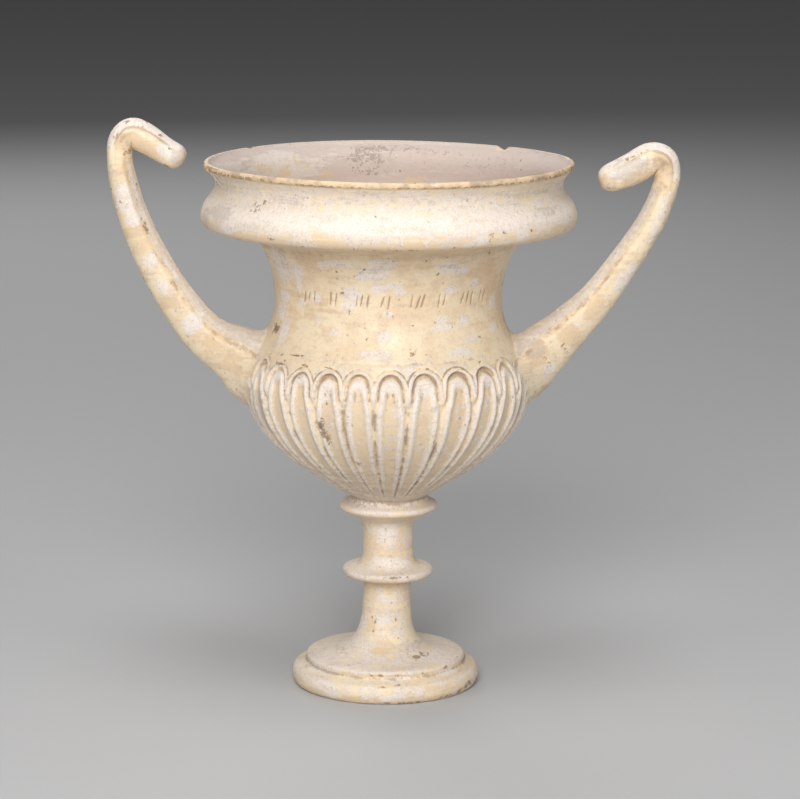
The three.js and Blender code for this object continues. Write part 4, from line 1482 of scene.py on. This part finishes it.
    @staticmethod
    def write(data: bpy.types.Mesh, name: str, values: np.ndarray) -> None:
        """Store four shares at each point of the mesh under a name."""
        layer = data.attributes.new(name, "FLOAT_COLOR", "POINT")
        layer.data.foreach_set("color", values.astype(np.float32).ravel())


def make_object(name: str, mesh: bmesh.types.BMesh) -> bpy.types.Object:
    """Turn a bmesh into an object of the scene and free it."""
    data = bpy.data.meshes.new(name)
    mesh.to_mesh(data)
    mesh.free()
    made = bpy.data.objects.new(name, data)
    bpy.context.collection.objects.link(made)
    return made


def join(target: bpy.types.Object, piece: bpy.types.Object) -> None:
    """Join a piece into the target as one closed body, and delete the piece."""
    union = target.modifiers.new("join", "BOOLEAN")
    union.operation = "UNION"
    union.solver = "EXACT"
    union.object = piece
    bpy.context.view_layer.update()
    shaped = bpy.data.meshes.new_from_object(
        target.evaluated_get(bpy.context.evaluated_depsgraph_get()))
    target.modifiers.remove(union)
    old = target.data
    target.data = shaped
    bpy.data.meshes.remove(old)
    bpy.data.objects.remove(piece)


class NodeBoard:
    """Short calls for laying out the nodes of one material."""

    def __init__(self, name: str) -> None:
        """Start a material with its principled shader."""
        self.material = bpy.data.materials.new(name)
        self.material.use_nodes = True
        self.tree = self.material.node_tree
        self.shader = self.tree.nodes["Principled BSDF"]
        self.place = self.tree.nodes.new("ShaderNodeTexCoord").outputs["Object"]

    def put(self, socket: bpy.types.NodeSocket, value: object) -> None:
        """Link a socket to another, or set its value."""
        if isinstance(value, bpy.types.NodeSocket):
            self.tree.links.new(value, socket)
        elif isinstance(value, tuple) and len(value) == 3 and socket.type == "RGBA":
            socket.default_value = (*value, 1.0)
        else:
            socket.default_value = value

    def grain(self, scale: float, detail: float = 3.0, rough: float = 0.55,
              stretch: tuple[float, float, float] | None = None) -> bpy.types.NodeSocket:
        """Return noise spread out over the whole way from 0 to 1.

        Args:
            scale: Waves to a metre.
            detail: Number of finer layers.
            rough: Strength of the finer layers.
            stretch: Scale along each axis, where the noise is drawn out.

        Returns:
            The noise's socket.
        """
        texture = self.tree.nodes.new("ShaderNodeTexNoise")
        texture.inputs["Scale"].default_value = scale
        texture.inputs["Detail"].default_value = detail
        texture.inputs["Roughness"].default_value = rough
        place = self.place
        if stretch:
            mapping = self.tree.nodes.new("ShaderNodeMapping")
            mapping.inputs["Scale"].default_value = stretch
            self.put(mapping.inputs["Vector"], place)
            place = mapping.outputs["Vector"]
        self.put(texture.inputs["Vector"], place)
        return self.step(texture.outputs["Fac"], 0.33, 0.67)

    def step(self, value: bpy.types.NodeSocket, low: float, high: float) -> bpy.types.NodeSocket:
        """Return a smooth step of a value from 0 at low to 1 at high."""
        node = self.tree.nodes.new("ShaderNodeMapRange")
        node.interpolation_type = "SMOOTHSTEP"
        self.put(node.inputs["Value"], value)
        node.inputs["From Min"].default_value = low
        node.inputs["From Max"].default_value = high
        return node.outputs["Result"]

    def calc(self, operation: str, *values: object) -> bpy.types.NodeSocket:
        """Return what the named operation makes of up to three values."""
        node = self.tree.nodes.new("ShaderNodeMath")
        node.operation = operation
        for socket, value in zip(node.inputs, values):
            self.put(socket, value)
        return node.outputs["Value"]

    def cover(self, mask: bpy.types.NodeSocket, grain: bpy.types.NodeSocket, soft: float,
              strength: float) -> bpy.types.NodeSocket:
        """Return a ragged cover that fills as large a share of the skin as the mask says.

        Args:
            mask: Share of the skin that is covered.
            grain: Noise from 0 to 1 that shapes the islands.
            soft: Softness of the islands' edges.
            strength: Strength of the whole cover.

        Returns:
            The cover's socket.
        """
        islands = self.step(self.calc("MULTIPLY_ADD", mask, 1.0 + soft, grain), 1.0, 1.0 + soft)
        return self.calc("MULTIPLY", islands, strength)

    def paint(self, share: object, under: object, over: object) -> bpy.types.NodeSocket:
        """Return one colour laid over another by a share."""
        node = self.tree.nodes.new("ShaderNodeMix")
        node.data_type = "RGBA"
        self.put(node.inputs[0], share)
        self.put(node.inputs[6], under)
        self.put(node.inputs[7], over)
        return node.outputs[2]

    def worth(self, share: object, under: object, over: object) -> bpy.types.NodeSocket:
        """Return one number laid over another by a share."""
        node = self.tree.nodes.new("ShaderNodeMix")
        node.data_type = "FLOAT"
        self.put(node.inputs[0], share)
        self.put(node.inputs[2], under)
        self.put(node.inputs[3], over)
        return node.outputs[0]

    def specks(self, scale: float, size: float, rare: float) -> bpy.types.NodeSocket:
        """Return ragged specks, each in its own cell.

        Args:
            scale: Cells to a metre.
            size: Radius of a speck as a share of a cell.
            rare: Share of the cells that stay empty.

        Returns:
            A mask of the specks.
        """
        cells = self.tree.nodes.new("ShaderNodeTexVoronoi")
        cells.inputs["Scale"].default_value = scale
        self.put(cells.inputs["Vector"], self.place)
        split = self.tree.nodes.new("ShaderNodeSeparateColor")
        self.put(split.inputs["Color"], cells.outputs["Color"])
        some = self.step(split.outputs["Red"], rare, rare + 0.02)
        ragged = self.calc("MULTIPLY_ADD", self.grain(scale * 3.0, 2.0), size * 1.1,
                           cells.outputs["Distance"])
        spot = self.step(ragged, size * 1.7, size * 1.0)
        return self.calc("MULTIPLY", spot, some)

    def marks(self, name: str) -> tuple[bpy.types.NodeSocket, ...]:
        """Return the four channels of one of the mesh's marks."""
        node = self.tree.nodes.new("ShaderNodeAttribute")
        node.attribute_name = name
        split = self.tree.nodes.new("ShaderNodeSeparateColor")
        self.put(split.inputs["Color"], node.outputs["Color"])
        return (*split.outputs[:3], node.outputs["Alpha"])


@dataclass(frozen=True)
class SlippedClay:
    """Cream slip over fired clay, worn to chalky white, stained and flaked, with painted shade in hollows
    and creases and painted highlights on the hooks' tops and the roll.
    """

    cream: Colour = (0.870, 0.722, 0.515)
    warm: Colour = (0.760, 0.555, 0.350)
    tan: Colour = (0.740, 0.525, 0.315)
    channel_tone: Colour = (0.710, 0.525, 0.335)
    stain_tone: Colour = (0.640, 0.480, 0.330)
    mottle_tone: Colour = (0.560, 0.430, 0.320)
    chalk: Colour = (0.895, 0.810, 0.745)
    chalk_dim: Colour = (0.760, 0.680, 0.620)
    ash_and_shade: Colour = (0.520, 0.445, 0.385)
    umber: Colour = (0.130, 0.085, 0.058)
    rust: Colour = (0.420, 0.250, 0.135)
    soil_and_shade: Colour = (0.330, 0.220, 0.140)
    stone: Colour = (0.330, 0.270, 0.225)
    # The lining's own greyer colour, set darker to stand for the shade inside the bowl: partly painted
    # shade.
    hollow: Colour = (0.600, 0.500, 0.440)
    hollow_pale: Colour = (0.705, 0.620, 0.545)
    hollow_dark: Colour = (0.230, 0.180, 0.150)
    hollow_tan: Colour = (0.700, 0.550, 0.350)
    bump_strength: float = 0.60
    bump_distance: float = 0.00060
    shine: float = 0.42

    def material(self) -> bpy.types.Material:
        """Lay out the material and return it."""
        board = NodeBoard("slipped_clay")
        dug, channel, ridge, inside = board.marks("work")
        chalk, tan, umber, grey = board.marks("stains")
        hollowed, edge, stroke, _ = board.marks("form")
        broad = board.grain(34.0, 4.0, 0.60)
        middle = board.grain(120.0, 5.0, 0.68)
        fine = board.grain(430.0, 4.0, 0.72)
        dust = board.grain(1400.0, 2.0, 0.60)
        brushed = board.grain(42.0, 5.0, 0.66, (1.0, 1.0, 10.0))
        islands = board.worth(0.42, middle, fine)
        washes = board.worth(0.45, brushed, islands)

        toned = board.step(board.worth(0.45, broad, middle), 0.30, 0.95)
        colour = board.paint(board.calc("MULTIPLY", toned, 0.55), self.cream, self.warm)
        colour = board.paint(board.cover(tan, washes, 0.60, 0.62), colour, self.tan)
        colour = board.paint(board.cover(channel, fine, 0.55, 0.50), colour, self.channel_tone)

        # The chalk mark is wear, and on the hooks' tops and round the top of the roll it is also a painted
        # highlight.
        wear_and_highlight = board.calc("MAXIMUM", chalk, board.calc("MULTIPLY", ridge, 0.86))
        wear_and_highlight = board.calc("MULTIPLY_ADD", edge, 0.30, wear_and_highlight)
        wear_and_highlight = board.calc("SUBTRACT", wear_and_highlight, board.calc("MULTIPLY", dug, 0.40))
        wear_and_highlight = board.calc("SUBTRACT", wear_and_highlight, board.calc("MULTIPLY", channel, 0.12))
        washed = board.cover(wear_and_highlight, washes, 0.36, 0.55)
        flaked = board.cover(wear_and_highlight, islands, 0.10, 0.62)
        chalk_tone = board.paint(fine, self.chalk, self.chalk_dim)
        colour = board.paint(washed, colour, chalk_tone)
        colour = board.paint(flaked, colour, board.paint(dust, self.chalk, self.chalk_dim))

        # Grey stains, together with painted shade on the handles' inner strips and under the roll.
        soot_and_shade = board.cover(grey, board.worth(0.5, brushed, fine), 0.75, 0.50)
        colour = board.paint(soot_and_shade, colour, self.ash_and_shade)
        stained = board.step(board.worth(0.5, brushed, islands), 0.50, 0.95)
        colour = board.paint(board.calc("MULTIPLY", stained, 0.34), colour, self.stain_tone)
        mottled = board.step(board.worth(0.55, dust, fine), 0.50, 1.0)
        colour = board.paint(board.calc("MULTIPLY", mottled, 0.30), colour, self.mottle_tone)

        # Soil and painted shade: the groove mark darkens the lip's band with soil, and the tongues'
        # crescents, the handles' creases and the hollow at their bend as painted shade; the next line
        # darkens concave places as painted shade.
        colour = board.paint(board.cover(dug, middle, 0.80, 0.50), colour, self.soil_and_shade)
        colour = board.paint(board.cover(hollowed, islands, 0.50, 0.55), colour, self.soil_and_shade)
        colour = board.paint(board.cover(stroke, middle, 0.40, 0.50), colour, self.rust)

        broken = board.calc("MULTIPLY_ADD", board.step(middle, 0.40, 0.80), 0.8, 0.2)
        speck_share = board.calc("MULTIPLY", board.specks(380.0, 0.22, 0.72), broken)
        colour = board.paint(board.calc("MULTIPLY", speck_share, 0.60), colour, self.rust)
        sparse = board.step(middle, 0.45, 0.75)
        grit = board.calc("MULTIPLY", board.specks(820.0, 0.24, 0.70), sparse)
        colour = board.paint(board.calc("MULTIPLY", grit, 0.42), colour, self.rust)
        pit_share = board.specks(165.0, 0.10, 0.80)
        colour = board.paint(board.calc("MULTIPLY", pit_share, 0.72), colour, self.umber)

        flake_share = board.cover(umber, fine, 0.10, 0.88)
        flake_tone = board.paint(board.step(umber, 0.70, 0.92), self.rust, self.umber)
        flake_tone = board.paint(board.calc("MULTIPLY", middle, 0.5), flake_tone, self.stone)
        colour = board.paint(flake_share, colour, flake_tone)

        lining = board.paint(board.cover(chalk, washes, 0.30, 0.95), self.hollow, self.hollow_pale)
        lining = board.paint(board.cover(tan, islands, 0.14, 0.80), lining, self.hollow_tan)
        peppered = board.cover(grey, board.worth(0.35, fine, dust), 0.20, 0.55)
        lining = board.paint(peppered, lining, self.hollow_dark)
        lining = board.paint(board.calc("MULTIPLY", mottled, 0.30), lining, self.mottle_tone)
        lining = board.paint(board.calc("MULTIPLY", grit, 0.45), lining, self.umber)
        lining = board.paint(board.calc("MULTIPLY", pit_share, 0.60), lining, self.umber)
        colour = board.paint(inside, colour, lining)
        board.put(board.shader.inputs["Base Color"], colour)

        gloss = board.worth(middle, 0.32, 0.48)
        dull = board.calc("MAXIMUM", flaked, board.calc("MAXIMUM", soot_and_shade, flake_share))
        dull = board.calc("MAXIMUM", dull, washed)
        rough = board.worth(dull, gloss, 0.90)
        rough = board.worth(board.calc("MAXIMUM", dug, inside), rough, 0.86)
        board.put(board.shader.inputs["Roughness"], rough)
        board.shader.inputs["Specular IOR Level"].default_value = self.shine

        relief = board.calc("MULTIPLY_ADD", fine, 0.16, board.calc("MULTIPLY", middle, 0.22))
        relief = board.calc("MULTIPLY_ADD", dust, board.worth(dull, 0.02, 0.10), relief)
        relief = board.calc("MULTIPLY_ADD", brushed, 0.14, relief)
        relief = board.calc("MULTIPLY_ADD", flaked, 0.30, relief)
        for hole, deep in ((flake_share, 0.60), (pit_share, 0.80), (speck_share, 0.40), (grit, 0.30)):
            relief = board.calc("SUBTRACT", relief, board.calc("MULTIPLY", hole, deep))
        skin = board.tree.nodes.new("ShaderNodeBump")
        skin.inputs["Strength"].default_value = self.bump_strength
        skin.inputs["Distance"].default_value = self.bump_distance
        board.put(skin.inputs["Height"], relief)
        board.put(board.shader.inputs["Normal"], skin.outputs["Normal"])
        return board.material


@dataclass(frozen=True)
class Lamp:
    """One soft square light, aimed at the cup."""

    name: str
    place: tuple[float, float, float]
    size: float
    power: float

    def hang(self, aim: Vector) -> None:
        """Put the light into the scene, facing the aim."""
        data = bpy.data.lights.new(self.name, "AREA")
        data.shape = "SQUARE"
        data.size = self.size
        data.energy = self.power
        lamp = bpy.data.objects.new(self.name, data)
        lamp.location = self.place
        lamp.rotation_euler = (aim - lamp.location).to_track_quat("-Z", "Y").to_euler()
        bpy.context.collection.objects.link(lamp)


@dataclass
class Studio:
    """Floor, lights and camera."""

    distance: float = 1.4594
    camera_height: float = 0.4295
    lens: float = 136.27
    pitch: float = math.radians(11.131)
    roll: float = math.radians(0.30)
    shift_x: float = 0.0152
    sensor: float = 36.0
    floor_half: float = 15.0
    floor_grey: Colour = (0.50, 0.50, 0.50)
    sky: Colour = (0.78, 0.78, 0.80)
    sky_strength: float = 0.10
    aim: tuple[float, float, float] = (0.0, 0.0, 0.16)
    lamps: tuple[Lamp, ...] = (
        Lamp("key", (-0.15, -1.80, 1.10), 1.0, 34.5),
        Lamp("top", (0.0, -0.35, 1.90), 0.9, 13.0),
        Lamp("left_fill", (-1.6, -1.1, 0.7), 0.9, 3.6),
        Lamp("right_fill", (1.6, -1.1, 0.7), 0.9, 4.4),
        Lamp("back", (-0.5, 1.9, 1.3), 1.2, 11.0))

    def floor(self) -> None:
        """Lay a wide pale floor."""
        mesh = bmesh.new()
        bmesh.ops.create_grid(mesh, x_segments=1, y_segments=1, size=self.floor_half)
        floor = make_object("floor", mesh)
        material = bpy.data.materials.new("floor")
        material.use_nodes = True
        shader = material.node_tree.nodes["Principled BSDF"]
        shader.inputs["Base Color"].default_value = (*self.floor_grey, 1.0)
        shader.inputs["Roughness"].default_value = 0.9
        floor.data.materials.append(material)

    def camera(self) -> None:
        """Set the camera where the photograph was taken from."""
        data = bpy.data.cameras.new("camera")
        data.sensor_width = self.sensor
        data.lens = self.lens
        data.shift_x = self.shift_x
        data.clip_end = 60.0
        camera = bpy.data.objects.new("camera", data)
        camera.location = (0.0, -self.distance, self.camera_height)
        tilt = Matrix.Rotation(math.pi / 2 - self.pitch, 3, "X")
        camera.rotation_euler = (tilt @ Matrix.Rotation(self.roll, 3, "Z")).to_euler()
        bpy.context.collection.objects.link(camera)
        bpy.context.scene.camera = camera

    def build(self) -> None:
        """Set up the whole studio."""
        self.camera()
        self.floor()
        for lamp in self.lamps:
            lamp.hang(Vector(self.aim))
        world = bpy.data.worlds.new("studio")
        world.use_nodes = True
        background = world.node_tree.nodes["Background"]
        background.inputs["Color"].default_value = (*self.sky, 1.0)
        background.inputs["Strength"].default_value = self.sky_strength
        bpy.context.scene.world = world
        bpy.context.scene.view_settings.view_transform = "Standard"


def main() -> None:
    """Build the studio and the cup."""
    logging.basicConfig(level=logging.INFO, format="%(message)s")
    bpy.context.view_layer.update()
    Studio().build()
    cup = Cup().build()
    cup.data.materials.append(SlippedClay().material())
    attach(cup, BODY)
    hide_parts(NODE)
    triangles = sum(len(p.vertices) - 2 for p in cup.data.polygons)
    LOG.info("%s: %d triangles", cup.name, triangles)


if __name__ == "__main__":
    main()
